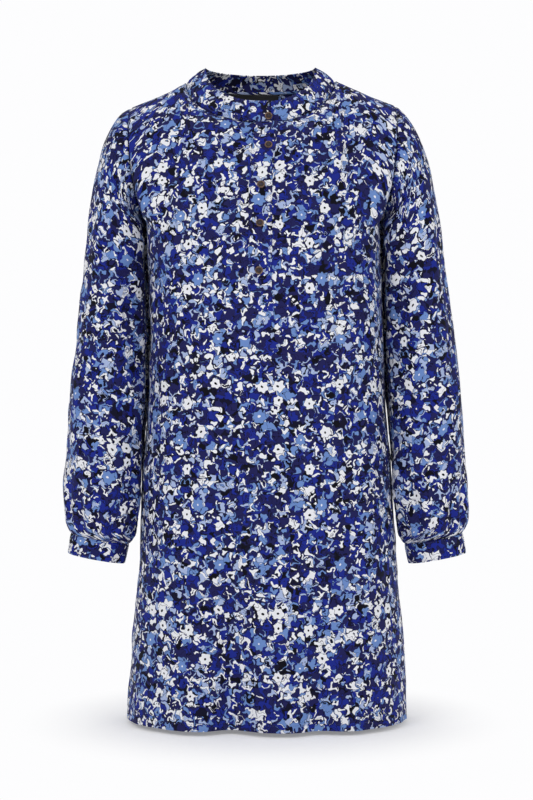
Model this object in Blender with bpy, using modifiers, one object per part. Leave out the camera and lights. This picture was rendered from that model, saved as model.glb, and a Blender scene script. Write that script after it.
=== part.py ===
"""A long-sleeved shirt dress, filled out as worn, modelled piece by piece as it is cut and sewn.

Metres, +Z up. The front faces -Y and the wearer's left side is +X.
The origin lies between the two points where the shoulder seams meet the neck seam,
which is where the wearer's shoulders hold the dress up.
Each piece of cloth is a wall with its own thickness, and seams keep a gap of SEAM_GAP.
"""

import bmesh
import bpy
import numpy as np
from mathutils import Matrix, Vector

# Cloth
WALL = 0.0016
CUFF_WALL = 0.0022
BAND_WALL = 0.0018
TAPE_WALL = 0.0010
SEAM_GAP = 0.0003

# Heights
HEM_Z = -0.855
UNDERARM_Z = -0.180
CHEST_ROW_DIP = 0.045

# Body of the dress from the underarm to the hem, a row for each height.
# z, half width, depth of the front, depth of the back, sideways shift
BODY_ROWS = (
    (-0.180, 0.1570, 0.112, 0.100, 0.000),
    (-0.240, 0.1560, 0.124, 0.096, 0.001),
    (-0.330, 0.1555, 0.122, 0.088, 0.003),
    (-0.431, 0.1590, 0.121, 0.088, 0.003),
    (-0.530, 0.1670, 0.124, 0.096, 0.003),
    (-0.644, 0.1720, 0.128, 0.107, 0.003),
    (-0.765, 0.1828, 0.132, 0.116, 0.005),
    (-0.855, 0.1868, 0.133, 0.122, 0.003),
)
SECTION_POWER = 0.833
COLUMN_POWER = 1.2

# Folds that fall from the hips to the hem.
# x of the fold, width, outward height at the hem, z where it starts
FRONT_FOLDS = (
    (-0.108, 0.030, 0.005, -0.46),
    (-0.044, 0.026, -0.020, -0.40),
    (0.020, 0.028, 0.004, -0.52),
    (0.068, 0.021, -0.010, -0.50),
    (0.118, 0.030, 0.006, -0.48),
)
BACK_FOLDS = (
    (-0.090, 0.026, -0.011, -0.47),
    (-0.034, 0.028, 0.007, -0.42),
    (0.030, 0.027, -0.017, -0.38),
    (0.092, 0.030, 0.008, -0.50),
)

# Neck seam, collar and shoulder
NECK_SHIFT = -0.0055
NECK_HALF_WIDTH = 0.100
NECK_FRONT = 0.071
NECK_BACK = 0.074
NECK_SIDE_Z = -0.002
NECK_FRONT_DROP = 0.066
NECK_BACK_DROP = 0.004
COLLAR_HALF_WIDTH = 0.0735
COLLAR_FRONT = 0.062
COLLAR_BACK = 0.062
COLLAR_SIDE_Z = 0.0170
COLLAR_FRONT_DROP = 0.0560
SHOULDER_POINT = (0.1765, 0.006, -0.038)
NECK_SHARE = 0.56

# How the lines of the front and back reach the top edge: share of the half panel,
# then the tangent (sideways, towards the other panel, up).
FRONT_TOP_TANGENTS = (
    (0.00, 0.000, 0.060, 0.105),
    (0.30, -0.008, 0.105, 0.070),
    (0.56, -0.020, 0.165, 0.004),
    (0.80, -0.015, 0.200, 0.000),
    (1.00, -0.020, 0.236, 0.000),
)
BACK_TOP_TANGENTS = (
    (0.00, 0.000, 0.040, 0.120),
    (0.30, -0.008, 0.100, 0.075),
    (0.56, -0.020, 0.165, 0.004),
    (0.80, -0.015, 0.205, 0.000),
    (1.00, -0.020, 0.250, 0.000),
)
RISE = 0.16
ARMHOLE_START = (0.050, -0.240, 0.000)
UPPER_ROWS = (0.0, 0.10, 0.20, 0.30, 0.40, 0.50, 0.60, 0.70, 0.80, 0.89, 0.965, 1.0)
LOW_ROWS = 16
SIDE_SHARE = 0.72
TANGENT_STEP = 0.004

# Collar band: where its two ends stop, as turns from the middle of the front, and how they lap
COLLAR_ENDS = (-13.5, 368.4)
COLLAR_COLUMNS = 45
COLLAR_ROWS = (0.0, 0.36, 0.68, 1.0)
COLLAR_LAP = 0.0011
COLLAR_LAP_TURN = 33.0
COLLAR_GAP = (0.0012, 0.0018)
COLLAR_CROWN = 0.0015

# Sleeve, a row for each ring below the arm's top. z, centre x, centre y, half width, half depth, tilt
SLEEVE_ROWS = (
    (-0.2400, 0.2028, 0.002, 0.0397, 0.0565, 0.0),
    (-0.3000, 0.2054, 0.001, 0.0437, 0.0570, 0.0),
    (-0.3770, 0.2103, -0.003, 0.0472, 0.0580, 1.0),
    (-0.4310, 0.2138, -0.007, 0.0495, 0.0590, 2.0),
    (-0.5070, 0.2184, -0.013, 0.0486, 0.0595, 5.0),
    (-0.5600, 0.2216, -0.018, 0.0468, 0.0590, 8.0),
    (-0.5880, 0.2219, -0.021, 0.0454, 0.0540, 9.5),
    (-0.6060, 0.2220, -0.023, 0.0424, 0.0440, 10.5),
    (-0.6147, 0.2224, -0.024, 0.0388, 0.0335, 10.5),
)
SLEEVE_LOW_ROWS = (0.0, 0.022, 0.05, 0.10, 0.17, 0.26, 0.36, 0.46, 0.57, 0.68, 0.79, 0.90)
SLEEVE_CAP_ROWS = 8
INNER_POWER = 0.72
INNER_REST = 0.010
SLEEVE_SHIFT = 0.0015
CAP_REACH = (0.045, 0.150)
CAP_DROP = (0.050, 0.165)
CAP_DIRECTION_LOW = (0.78, -0.62)
CAP_DIRECTION_TOP = (0.91, -0.41)
GATHERS = 14
GATHER_HEIGHT = 0.0034
GATHER_REACH = 0.085

# Folds of the sleeve. turn from the underarm, width, height, z of the middle, half length, slant per metre
SLEEVE_FOLDS = (
    (60.0, 22.0, -0.0050, -0.30, 0.10, 160.0),
    (118.0, 26.0, 0.0040, -0.42, 0.13, -120.0),
    (150.0, 18.0, -0.0035, -0.50, 0.09, 90.0),
    (255.0, 24.0, -0.0050, -0.36, 0.12, -140.0),
    (305.0, 22.0, 0.0040, -0.48, 0.10, 110.0),
)

# The dress isn't quite even: one shoulder hangs lower. x, width, lift
SHOULDER_LIFTS = (
    (-0.128, 0.035, -0.0040),
    (0.172, 0.030, 0.0025),
)
# and its sides lie a little to one side. z, sideways shift
SIDE_SHIFTS = (
    (-0.700, 0.0000),
    (-0.660, 0.0016),
    (-0.610, 0.0016),
    (-0.560, 0.0000),
    (-0.340, 0.0000),
    (-0.220, -0.0022),
    (0.030, -0.0022),
)

# Cuff
CUFF_HEIGHT = 0.0260
CUFF_TILT = 10.5
CUFF_TOP = (0.2224, -0.024, -0.6150)
CUFF_HALF = (0.0385, 0.0330)
CUFF_HALF_LOW = (0.0376, 0.0328)
CUFF_COLUMNS = 40

# Front opening. z, x of its middle
PLACKET_PATH = (
    (-0.040, 0.0030),
    (-0.066, 0.0026),
    (-0.100, 0.0000),
    (-0.125, -0.0030),
    (-0.154, -0.0048),
    (-0.205, -0.0052),
    (-0.300, -0.0060),
)
PLACKET_HALF_WIDTH = 0.0150
PLACKET_BOTTOM_Z = -0.292
PLACKET_COLUMNS = (-1.0, -0.34, 0.34, 1.0)
SLOT_HALF_WIDTH = 0.0115
SLOT_BOTTOM_Z = -0.287
SLOT_SHARE = 0.060
SLOT_LOW_ROWS = 14
LAYER = WALL + SEAM_GAP + 0.0001

# Buttons. z, x
BUTTON_PLACES = (
    (-0.0600, 0.0056),
    (-0.1005, 0.0054),
    (-0.1540, -0.0045),
    (-0.2047, -0.0057),
    (-0.2655, -0.0068),
)
BUTTON_RADIUS = 0.0052
BUTTON_THICKNESS = 0.0024
BUTTON_RIM = 0.0008
BUTTON_SIDES = 20

# Neck label
LABEL_X = -0.0145
LABEL_HALF_WIDTH = 0.034
LABEL_TOP = 0.0008
LABEL_HEIGHT = 0.012
LABEL_COLUMNS = 7

# Colours
PRINT_BLUE = (0.030, 0.040, 0.190)
HORN_BROWN = (0.100, 0.050, 0.025)
TAPE_BLACK = (0.010, 0.010, 0.012)


def smooth_step(t):
    """0 below 0, 1 above 1, and an S-curve between."""
    t = np.clip(t, 0.0, 1.0)
    return t * t * (3.0 - 2.0 * t)


def mix(a, b, share):
    return a + (b - a) * share


def read_rows(rows, at):
    """The other columns of a table at the places `at` of its first, on a smooth curve through its rows."""
    table = np.array(sorted(rows), float)
    key, values = table[:, 0], table[:, 1:]
    slopes = np.gradient(values, key, axis=0)
    at = np.clip(np.asarray(at, float), key[0], key[-1])
    low = np.clip(np.searchsorted(key, at) - 1, 0, len(key) - 2)
    step = key[low + 1] - key[low]
    t = ((at - key[low]) / step)[..., None]
    step = step[..., None]
    start, end = values[low], values[low + 1]
    return (
        start * (2 * t**3 - 3 * t**2 + 1)
        + end * (3 * t**2 - 2 * t**3)
        + step * slopes[low] * (t**3 - 2 * t**2 + t)
        + step * slopes[low + 1] * (t**3 - t**2)
    )


def hermite(start, start_tangent, end, end_tangent, t):
    """The cubic from start to end that leaves along one tangent and arrives along the other."""
    t = t[..., None]
    return (
        start * (2 * t**3 - 3 * t**2 + 1)
        + start_tangent * (t**3 - 2 * t**2 + t)
        + end * (3 * t**2 - 2 * t**3)
        + end_tangent * (t**3 - t**2)
    )


def spread(start, end, count):
    """Evenly spaced places from start to end, both counted."""
    return np.linspace(start, end, count)


def body_point(share, z, front):
    """The body at a share of the half girth, -1 at one side seam and 1 at the other, and a height z.
    Each section is a rounded oval, flatter than an ellipse, whose depth the hem's folds change."""
    share, z = np.broadcast_arrays(share, z)
    half_width, front_depth, back_depth, shift = np.moveaxis(read_rows(BODY_ROWS, z), -1, 0)
    turn = np.sign(share) * np.abs(share) ** COLUMN_POWER * np.pi / 2
    across = np.sign(turn) * np.abs(np.sin(turn)) ** SECTION_POWER * half_width
    depth = front_depth if front else back_depth
    for x, width, height, top in FRONT_FOLDS if front else BACK_FOLDS:
        depth = depth + height * np.exp(-(((across - x) / width) ** 2)) * smooth_step(
            (top - z) / (top - HEM_Z)
        )
    facing = -1.0 if front else 1.0
    y = facing * depth * np.abs(np.cos(turn)) ** SECTION_POWER
    return np.stack((across + shift, y + facing * SEAM_GAP / 2, z), axis=-1)


def chest_row(share):
    """Height of the row that runs from one underarm to the other, lower at the middle."""
    return UNDERARM_Z - CHEST_ROW_DIP * (1.0 - np.abs(share) ** 3)


def neck_seam(turn):
    """The neck seam at an angle from the middle of the front, positive towards +X."""
    cos, sin = np.cos(turn), np.sin(turn)
    depth = np.where(cos > 0, NECK_FRONT, NECK_BACK)
    drop = np.where(cos > 0, NECK_FRONT_DROP, NECK_BACK_DROP)
    x = NECK_SHIFT + NECK_HALF_WIDTH * sin
    return np.stack((x, -depth * cos, NECK_SIDE_Z - drop * np.abs(cos)), axis=-1)


def collar_edge(turn):
    """The collar's upper edge at an angle from the middle of the front."""
    cos, sin = np.cos(turn), np.sin(turn)
    depth = np.where(cos > 0, COLLAR_FRONT, COLLAR_BACK)
    drop = np.where(cos > 0, COLLAR_FRONT_DROP * np.abs(cos) ** 0.95, 0.0)
    x = NECK_SHIFT + COLLAR_HALF_WIDTH * sin
    return np.stack((x, -depth * cos, COLLAR_SIDE_Z - drop), axis=-1)


def top_edge(share, front):
    """The top edge of the front or back: the neck seam in the middle, then the shoulder seam."""
    side = np.where(share < 0, -1.0, 1.0)
    size = np.abs(share)
    quarter = np.clip(size / NECK_SHARE, 0.0, 1.0) * np.pi / 2
    turn = side * (quarter if front else np.pi - quarter)
    neck = neck_seam(turn)
    along = np.clip((size - NECK_SHARE) / (1.0 - NECK_SHARE), 0.0, 1.0)[..., None]
    x, y, z = SHOULDER_POINT
    point = np.stack((side * x, np.full(size.shape, y), np.full(size.shape, z)), axis=-1)
    facing = -1.0 if front else 1.0
    return mix(neck, point, along) + np.array((0.0, facing * SEAM_GAP / 2, 0.0))


def upper_point(share, rise, front):
    """The chest or upper back, from the chest row (rise 0) to the top edge (rise 1).
    Each line is a cubic: the middle ones go up, and those at the armhole leave the underarm
    level and forwards, so that the outermost line is the armhole's edge."""
    share, rise = np.broadcast_arrays(share, rise)
    side = np.where(share < 0, -1.0, 1.0)
    facing = -1.0 if front else 1.0
    low_z = chest_row(share)
    start = body_point(share, low_z, front)
    up = (start - body_point(share, low_z - TANGENT_STEP, front)) / TANGENT_STEP * RISE
    x, y, z = ARMHOLE_START
    level = np.stack((side * x, np.full(side.shape, -facing * y), np.full(side.shape, z)), axis=-1)
    start_tangent = mix(up, level, smooth_step((np.abs(share) - 0.55) / 0.45)[..., None])
    rows = FRONT_TOP_TANGENTS if front else BACK_TOP_TANGENTS
    inward, over, lift = np.moveaxis(read_rows(rows, np.abs(share)), -1, 0)
    end_tangent = np.stack((side * inward, -facing * over, lift), axis=-1)
    return hermite(start, start_tangent, top_edge(share, front), end_tangent, rise)


def panel_point(share, row, front):
    """The front or back panel: row 0 is the hem, row 1 the chest row and row 2 the top edge."""
    share, row = np.broadcast_arrays(np.asarray(share, float), np.asarray(row, float))
    low = body_point(share, mix(HEM_Z, chest_row(share), np.clip(row, 0.0, 1.0)), front)
    high = upper_point(share, np.clip(row - 1.0, 0.0, 1.0), front)
    return np.where((row <= 1.0)[..., None], low, high)


def opening_middle(line):
    """Sideways place of the opening's middle on a row of the front."""
    height = np.interp(0.0, line[:, 0], line[:, 2])
    return float(read_rows(PLACKET_PATH, height)[0])


def front_shares(base, rows):
    """Shares of the front's grid: the columns beside the opening follow its edges,
    and the others are spread from there to the side seams."""
    shares = np.linspace(-0.35, 0.35, 141)
    grid = []
    for line in panel_point(shares[None, :], rows[:, None], True):
        edges = opening_middle(line) + np.array((-SLOT_HALF_WIDTH, SLOT_HALF_WIDTH))
        left, right = np.interp(edges, line[:, 0], shares)
        grid.append(np.interp(base, (-1.0, -SLOT_SHARE, SLOT_SHARE, 1.0), (-1.0, left, right, 1.0)))
    return np.array(grid)


def half_columns(start, count):
    """Shares of the columns from the middle to a side seam, closer together at the side."""
    return np.concatenate((spread(start, SIDE_SHARE, count), spread(SIDE_SHARE, 1.0, 6)[1:]))


def front_grid():
    """Base columns and points of the front. The slot starts at row SLOT_LOW_ROWS - 1."""
    half = half_columns(SLOT_SHARE, 9)
    base = np.concatenate((-half[::-1], (-SLOT_SHARE / 2, 0.0, SLOT_SHARE / 2), half))
    trial = np.linspace(0.4, 1.0, 241)
    heights = panel_point(np.zeros(trial.shape), trial, True)[:, 2]
    slot_row = np.interp(SLOT_BOTTOM_Z, heights, trial)
    low = np.concatenate((spread(0.0, slot_row, SLOT_LOW_ROWS), spread(slot_row, 1.0, 3)[1:]))
    rows = np.concatenate((low, 1.0 + np.array(UPPER_ROWS[1:])))
    return base, panel_point(front_shares(base, rows), rows[:, None], True)


def back_grid():
    """Points of the back. Its columns run the other way, so that its faces look outwards."""
    half = half_columns(0.0, 10)
    shares = np.concatenate((-half[:0:-1], half))[::-1]
    rows = np.concatenate((spread(0.0, 1.0, LOW_ROWS), 1.0 + np.array(UPPER_ROWS[1:])))
    return panel_point(shares[None, :], rows[:, None], False)


def on_rows(rows, lines):
    """Points on the rows of a grid at the sideways places `lines`, one list of places for each row.
    They lie on the straight edges between the grid's points, as the cloth of the panel does."""
    out = []
    for row, places in zip(rows, lines):
        row = row[np.argsort(row[:, 0])]
        y = np.interp(places, row[:, 0], row[:, 1])
        z = np.interp(places, row[:, 0], row[:, 2])
        out.append(np.stack((places, y, z), axis=-1))
    return np.array(out)


def lifted(points, depth):
    """The grid of points moved out along its own normals."""
    along = np.gradient(points, axis=1)
    up = np.gradient(points, axis=0)
    normal = np.cross(along, up)
    normal /= np.linalg.norm(normal, axis=-1, keepdims=True)
    return points + normal * depth


def opening_strip(inset):
    """The strip of the front that one half of the opening covers, on the front's own rows.
    It reaches below the slot to PLACKET_BOTTOM_Z, and nearly to the neck seam above."""
    points = front_grid()[1]
    slot = SLOT_LOW_ROWS - 1
    drop = points[slot, :, 2] - points[slot - 1, :, 2]
    below = ((SLOT_BOTTOM_Z - PLACKET_BOTTOM_Z) / drop)[:, None]
    bottom = mix(points[slot], points[slot - 1], below)
    top = mix(points[-1], points[-2], 0.10)
    kept = np.concatenate((bottom[None], points[slot:-1], top[None]))
    across = np.array(PLACKET_COLUMNS) * (PLACKET_HALF_WIDTH - inset)
    return on_rows(kept, [opening_middle(row) + across for row in kept])


def strip_frame(strip, x, z):
    """The point and outward normal of a strip at a sideways place and a height."""
    rows = np.arange(len(strip))
    line = np.array([[np.interp(x, row[:, 0], row[:, axis]) for axis in range(3)] for row in strip])
    order = np.argsort(line[:, 2])
    row = np.interp(z, line[order, 2], rows[order])
    low = min(int(row), len(strip) - 2)
    point = mix(line[low], line[low + 1], row - low)
    up = line[low + 1] - line[low]
    across = mix(strip[low, -1] - strip[low, 0], strip[low + 1, -1] - strip[low + 1, 0], row - low)
    normal = np.cross(across, up)
    return point, normal / np.linalg.norm(normal)


def armhole(turn):
    """The armhole of the +X side at an angle from the underarm: front first, over the shoulder, then back.
    It lies on the straight edges between the panels' own points."""
    rises = np.array(UPPER_ROWS)
    front = upper_point(np.ones(rises.shape), rises, True)
    back = upper_point(np.ones(rises.shape), rises, False)
    front_rise, back_rise = turn / np.pi, 2.0 - turn / np.pi
    out = []
    for axis in range(3):
        on_front = np.interp(front_rise, rises, front[:, axis])
        out.append(np.where(turn <= np.pi, on_front, np.interp(back_rise, rises, back[:, axis])))
    return np.stack(out, axis=-1)


def sleeve_ring(turn, z):
    """A ring of the lower sleeve: a tilted ellipse on the sleeve's centre line, with folds and gathers."""
    turn, z = np.broadcast_arrays(turn, z)
    centre_x, centre_y, half_width, half_depth, tilt = np.moveaxis(read_rows(SLEEVE_ROWS, z), -1, 0)
    bottom = SLEEVE_ROWS[-1][0]
    above = np.clip((z - bottom) / GATHER_REACH, 0.0, 1.0)
    swell = (0.3 + 0.7 * smooth_step(above / 0.16)) * (1.0 - smooth_step((above - 0.16) / 0.84))
    wave = np.cos(GATHERS * turn + 0.6 * np.sin(2 * turn) + 0.4 * np.sin(5 * turn))
    bump = GATHER_HEIGHT * swell * wave * (0.8 + 0.2 * np.cos(3 * turn + 1.0))
    for at, width, height, middle, half_length, slant in SLEEVE_FOLDS:
        away = np.degrees(turn) - at - slant * (z - middle)
        away = (away + 180.0) % 360.0 - 180.0
        bump = bump + height * np.exp(-((away / width) ** 2) - ((z - middle) / half_length) ** 2)
    rests = smooth_step((z + 0.60) / 0.09)
    inner = np.maximum(np.cos(turn), 0.0)
    flat = inner ** mix(1.0, INNER_POWER, rests)
    out = (np.maximum(-np.cos(turn), 0.0) - flat) * (half_width + bump)
    out = out - INNER_REST * smooth_step((z + 0.47) / 0.12) * flat * np.maximum(-np.sin(turn), 0.0)
    y = centre_y - np.sin(turn) * (half_depth + bump)
    tilt = np.radians(tilt)
    return np.stack((centre_x + out * np.cos(tilt), y, z + out * np.sin(tilt)), axis=-1)


def sleeve_point(turn, row):
    """The +X sleeve: row 0 is the cuff seam, row 1 the ring below the arm's top and row 2 the armhole seam.
    Above row 1 each line is a cubic that leaves the armhole outwards and turns down into the sleeve."""
    turn, row = np.broadcast_arrays(np.asarray(turn, float), np.asarray(row, float))
    turn = turn % (2 * np.pi)
    top_z, bottom_z = SLEEVE_ROWS[0][0], SLEEVE_ROWS[-1][0]
    low = sleeve_ring(turn, mix(bottom_z, top_z, np.clip(row, 0.0, 1.0)))
    over = (1.0 - np.cos(turn)) / 2.0
    x = mix(CAP_DIRECTION_LOW[0], CAP_DIRECTION_TOP[0], over)
    z = mix(CAP_DIRECTION_LOW[1], CAP_DIRECTION_TOP[1], over)
    direction = np.stack((x, -0.12 * np.sin(turn), z), axis=-1)
    direction /= np.linalg.norm(direction, axis=-1, keepdims=True)
    gap = mix(1.4 * WALL, SEAM_GAP + 0.0002, over**2)[..., None]
    end = sleeve_ring(turn, np.full(turn.shape, top_z))
    down = (sleeve_ring(turn, np.full(turn.shape, top_z - TANGENT_STEP)) - end) / TANGENT_STEP
    leave = direction * mix(CAP_REACH[0], CAP_REACH[1], over)[..., None]
    arrive = down * mix(CAP_DROP[0], CAP_DROP[1], over)[..., None]
    high = hermite(armhole(turn) + direction * gap, leave, end, arrive, 2.0 - np.clip(row, 1.0, 2.0))
    return np.where((row <= 1.0)[..., None], low, high)


def cuff_point(turn, down):
    """The +X cuff: a tilted ring that narrows a little from its seam (down 0) to its edge (down 1)."""
    turn, down = np.broadcast_arrays(turn, down)
    tilt = np.radians(CUFF_TILT)
    axis = np.array((np.sin(tilt), 0.0, -np.cos(tilt)))
    across = np.array((np.cos(tilt), 0.0, np.sin(tilt)))
    half_width = mix(CUFF_HALF[0], CUFF_HALF_LOW[0], down)
    half_depth = mix(CUFF_HALF[1], CUFF_HALF_LOW[1], down)
    centre = np.array(CUFF_TOP) + axis * (SEAM_GAP + WALL / 4)
    ring = across * (-np.cos(turn) * half_width)[..., None]
    ring = ring - np.array((0.0, 1.0, 0.0)) * (np.sin(turn) * half_depth)[..., None]
    return centre + ring + axis * (CUFF_HEIGHT * down)[..., None]


def on_side(points, side, shift):
    """Points made for the +X side, mirrored for the other side and moved sideways by shift."""
    if side < 0:
        points = points[:, ::-1] * np.array((-1.0, 1.0, 1.0))
    return points + shift * np.array((1.0, 0.0, 0.0))


def settle(points):
    """Points of the cloth moved by the small differences between the dress's two sides."""
    x, z = points[..., 0], points[..., 2]
    moved = points.copy()
    for at, width, lift in SHOULDER_LIFTS:
        moved[..., 2] += lift * np.exp(-(((x - at) / width) ** 2)) * smooth_step((z + 0.20) / 0.12)
    heights, shifts = np.array(SIDE_SHIFTS).T
    moved[..., 0] += np.interp(z, heights, shifts) * smooth_step((np.abs(x) - 0.10) / 0.06)
    return moved


def collection(name):
    made = bpy.data.collections.new(name)
    bpy.context.scene.collection.children.link(made)
    return made


def finish_material(name, colour, roughness):
    material = bpy.data.materials.new(name)
    material.use_nodes = True
    shader = material.node_tree.nodes["Principled BSDF"]
    shader.inputs["Base Color"].default_value = (*colour, 1.0)
    shader.inputs["Roughness"].default_value = roughness
    shader.inputs["Metallic"].default_value = 0.0
    return material


def grid_faces(rows, columns, closed):
    """Quads of a grid of points, row by row; a closed grid joins its last column to its first."""
    row = np.arange(rows - 1)[:, None]
    column = np.arange(columns if closed else columns - 1)[None, :]
    after = (column + 1) % columns
    corners = (row * columns + column, row * columns + after)
    corners += ((row + 1) * columns + after, (row + 1) * columns + column)
    return np.stack(np.broadcast_arrays(*corners), axis=-1).reshape(-1, 4)


def cloth(name, points, where, wall=WALL, closed=False, keep=None, colour=PRINT_BLUE):
    """A piece of cloth: the grid of points as an open surface, given its wall by Solidify.
    The order of rows and columns makes the faces look outwards."""
    rows, columns = points.shape[:2]
    faces = grid_faces(rows, columns, closed)
    if keep is not None:
        faces = faces[keep.reshape(-1)]
    mesh = bpy.data.meshes.new(name)
    mesh.from_pydata(settle(points).reshape(-1, 3).tolist(), [], faces.tolist())
    if keep is not None:
        shape = bmesh.new()
        shape.from_mesh(mesh)
        loose = [vertex for vertex in shape.verts if not vertex.link_faces]
        bmesh.ops.delete(shape, geom=loose, context="VERTS")
        shape.to_mesh(mesh)
        shape.free()
    mesh.shade_smooth()
    mesh.materials.append(finish_material(name, colour, 0.8))
    piece = bpy.data.objects.new(name, mesh)
    where.objects.link(piece)
    solidify = piece.modifiers.new("cloth wall", "SOLIDIFY")
    solidify.thickness = wall
    solidify.offset = 0.0
    solidify.use_even_offset = True
    return piece


def make_front(where):
    """The front, one piece from side seam to side seam, with the slot that the opening fills."""
    base, points = front_grid()
    row = np.arange(len(points) - 1)[:, None]
    middle = (base[:-1] + base[1:]) / 2
    in_slot = (row >= SLOT_LOW_ROWS - 1) & (np.abs(middle)[None, :] < SLOT_SHARE)
    return cloth("front_panel", points, where, keep=~in_slot)


def collar_band():
    """The standing collar band, row by row from the neck seam to its edge.
    It starts with the under end, goes round the back and comes to the over end."""
    turn = np.radians(spread(*COLLAR_ENDS, COLLAR_COLUMNS))
    reach = np.radians(COLLAR_LAP_TURN)
    under = smooth_step((np.radians(45.0) - turn) / reach)
    over = smooth_step((turn - np.radians(315.0)) / reach)
    low, high = neck_seam(turn), collar_edge(turn)
    along = np.array(COLLAR_ROWS)[:, None, None]
    gap = mix(COLLAR_GAP[0], COLLAR_GAP[1], np.sin(turn) ** 2) / np.linalg.norm(high - low, axis=-1)
    band = mix(low[None], high[None], mix(gap[None, :, None], 1.0, along))
    outside = np.stack((np.sin(turn), -np.cos(turn), np.full(turn.shape, 0.5)), axis=-1)
    outside /= np.linalg.norm(outside, axis=-1, keepdims=True)
    lap = COLLAR_LAP * (over - under)
    crown = COLLAR_CROWN * np.sin(np.pi * along)
    return band + outside[None] * (lap[None, :, None] + crown)


def make_sleeve(name, side, where):
    turn = np.linspace(0.0, 2 * np.pi, 3 * GATHERS, endpoint=False)
    rows = np.concatenate((SLEEVE_LOW_ROWS, spread(1.0, 2.0, SLEEVE_CAP_ROWS)))[:, None]
    shift = SLEEVE_SHIFT * (1.0 - smooth_step(rows - 1.0))[..., None]
    return cloth(name, on_side(sleeve_point(turn[None, :], rows), side, shift), where, closed=True)


def make_cuff(name, side, where):
    turn = np.linspace(0.0, 2 * np.pi, CUFF_COLUMNS, endpoint=False)
    points = cuff_point(turn[None, :], np.array(((1.0,), (0.5,), (0.0,))))
    return cloth(name, on_side(points, side, SLEEVE_SHIFT), where, wall=CUFF_WALL, closed=True)


def make_button(name, point, normal, where):
    """A turned button with a raised rim, its back at a point and its face along a normal."""
    rim = BUTTON_RIM
    profile = (
        (0.0, BUTTON_THICKNESS - rim),
        (BUTTON_RADIUS - 2.4 * rim, BUTTON_THICKNESS - rim),
        (BUTTON_RADIUS - 1.5 * rim, BUTTON_THICKNESS),
        (BUTTON_RADIUS - 0.5 * rim, BUTTON_THICKNESS - 0.2 * rim),
        (BUTTON_RADIUS, 0.5 * BUTTON_THICKNESS),
        (BUTTON_RADIUS - 1.6 * rim, 0.0),
        (0.0, 0.0),
    )
    mesh = bpy.data.meshes.new(name)
    edges = [(i, i + 1) for i in range(len(profile) - 1)]
    mesh.from_pydata([(radius, 0.0, height) for radius, height in profile], edges, [])
    mesh.materials.append(finish_material(name, HORN_BROWN, 0.3))
    button = bpy.data.objects.new(name, mesh)
    where.objects.link(button)
    screw = button.modifiers.new("turned", "SCREW")
    screw.steps = BUTTON_SIDES
    screw.render_steps = BUTTON_SIDES
    screw.use_merge_vertices = True
    screw.merge_threshold = 0.00005
    turned = Vector(normal).to_track_quat("Z", "Y").to_matrix().to_4x4()
    button.matrix_world = Matrix.Translation(Vector(point)) @ turned
    return button


def make_label(where):
    """The woven neck tape, inside the back just under the neck seam."""
    points = back_grid()
    top, below = points[-1], points[-3]
    length = np.linalg.norm(top - below, axis=-1)[:, None]
    kept = [mix(top, below, drop / length) for drop in (LABEL_TOP + LABEL_HEIGHT, LABEL_TOP)]
    places = LABEL_X + spread(1.0, -1.0, LABEL_COLUMNS) * LABEL_HALF_WIDTH
    on_back = on_rows(kept, [places] * len(kept))
    inside = lifted(on_back, -(WALL / 2 + TAPE_WALL / 2 + SEAM_GAP + 0.0002))
    return cloth("neck_label", inside, where, wall=TAPE_WALL, colour=TAPE_BLACK)


def make_buttons(placket, where):
    """The first button lies on the collar band's over end and the others on the placket."""
    band_end = collar_band()[:, -4:]
    for number, (z, x) in enumerate(BUTTON_PLACES):
        strip, lift = (placket, WALL / 2 + 0.0001) if number else (band_end, BAND_WALL / 2 + 0.0004)
        point, normal = strip_frame(strip, x, z)
        make_button(f"button_{number + 1}", point + normal * (lift + SEAM_GAP), normal, where)


def make_dress():
    for old in list(bpy.data.objects):
        bpy.data.objects.remove(old)
    dress = collection("shirt_dress")
    make_front(dress)
    cloth("back_panel", back_grid(), dress)
    placket = lifted(opening_strip(0.0), LAYER)
    cloth("placket_over", placket, dress)
    cloth("placket_under", lifted(opening_strip(0.0005), -LAYER), dress)
    cloth("collar_band", collar_band(), dress, wall=BAND_WALL)
    for word, side in (("left", 1.0), ("right", -1.0)):
        make_sleeve("sleeve_" + word, side, dress)
        make_cuff("cuff_" + word, side, dress)
    make_buttons(placket, dress)
    make_label(dress)


make_dress()
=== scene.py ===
"""The looks of the shirt dress: shells of cloth on its CAD solids, print, sewing, buttons, light.

Metres, +Z up, the front faces -Y and the wearer's left side is +X, as in the CAD model.
The sizes and shape functions down to settle() are the CAD model's own, so the cloth keeps its form.
"""

import bpy
import numpy as np
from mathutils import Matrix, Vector


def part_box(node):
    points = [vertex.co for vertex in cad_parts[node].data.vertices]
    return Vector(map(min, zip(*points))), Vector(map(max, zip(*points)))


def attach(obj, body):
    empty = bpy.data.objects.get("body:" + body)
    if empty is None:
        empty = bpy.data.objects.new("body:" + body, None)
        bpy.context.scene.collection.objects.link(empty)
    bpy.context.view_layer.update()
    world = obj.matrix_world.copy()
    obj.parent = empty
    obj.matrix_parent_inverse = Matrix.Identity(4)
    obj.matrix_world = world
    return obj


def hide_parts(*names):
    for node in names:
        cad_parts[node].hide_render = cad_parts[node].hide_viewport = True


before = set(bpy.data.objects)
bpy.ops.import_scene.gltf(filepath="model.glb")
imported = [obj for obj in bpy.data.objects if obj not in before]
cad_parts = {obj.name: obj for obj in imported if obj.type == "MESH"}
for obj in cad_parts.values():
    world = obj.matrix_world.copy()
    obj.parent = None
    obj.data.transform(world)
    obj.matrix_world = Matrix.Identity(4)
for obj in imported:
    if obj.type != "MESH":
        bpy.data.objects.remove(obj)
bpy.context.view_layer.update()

# Cloth
WALL = 0.0016
SEAM_GAP = 0.0003

# Heights
HEM_Z = -0.855
UNDERARM_Z = -0.180
CHEST_ROW_DIP = 0.045

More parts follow.
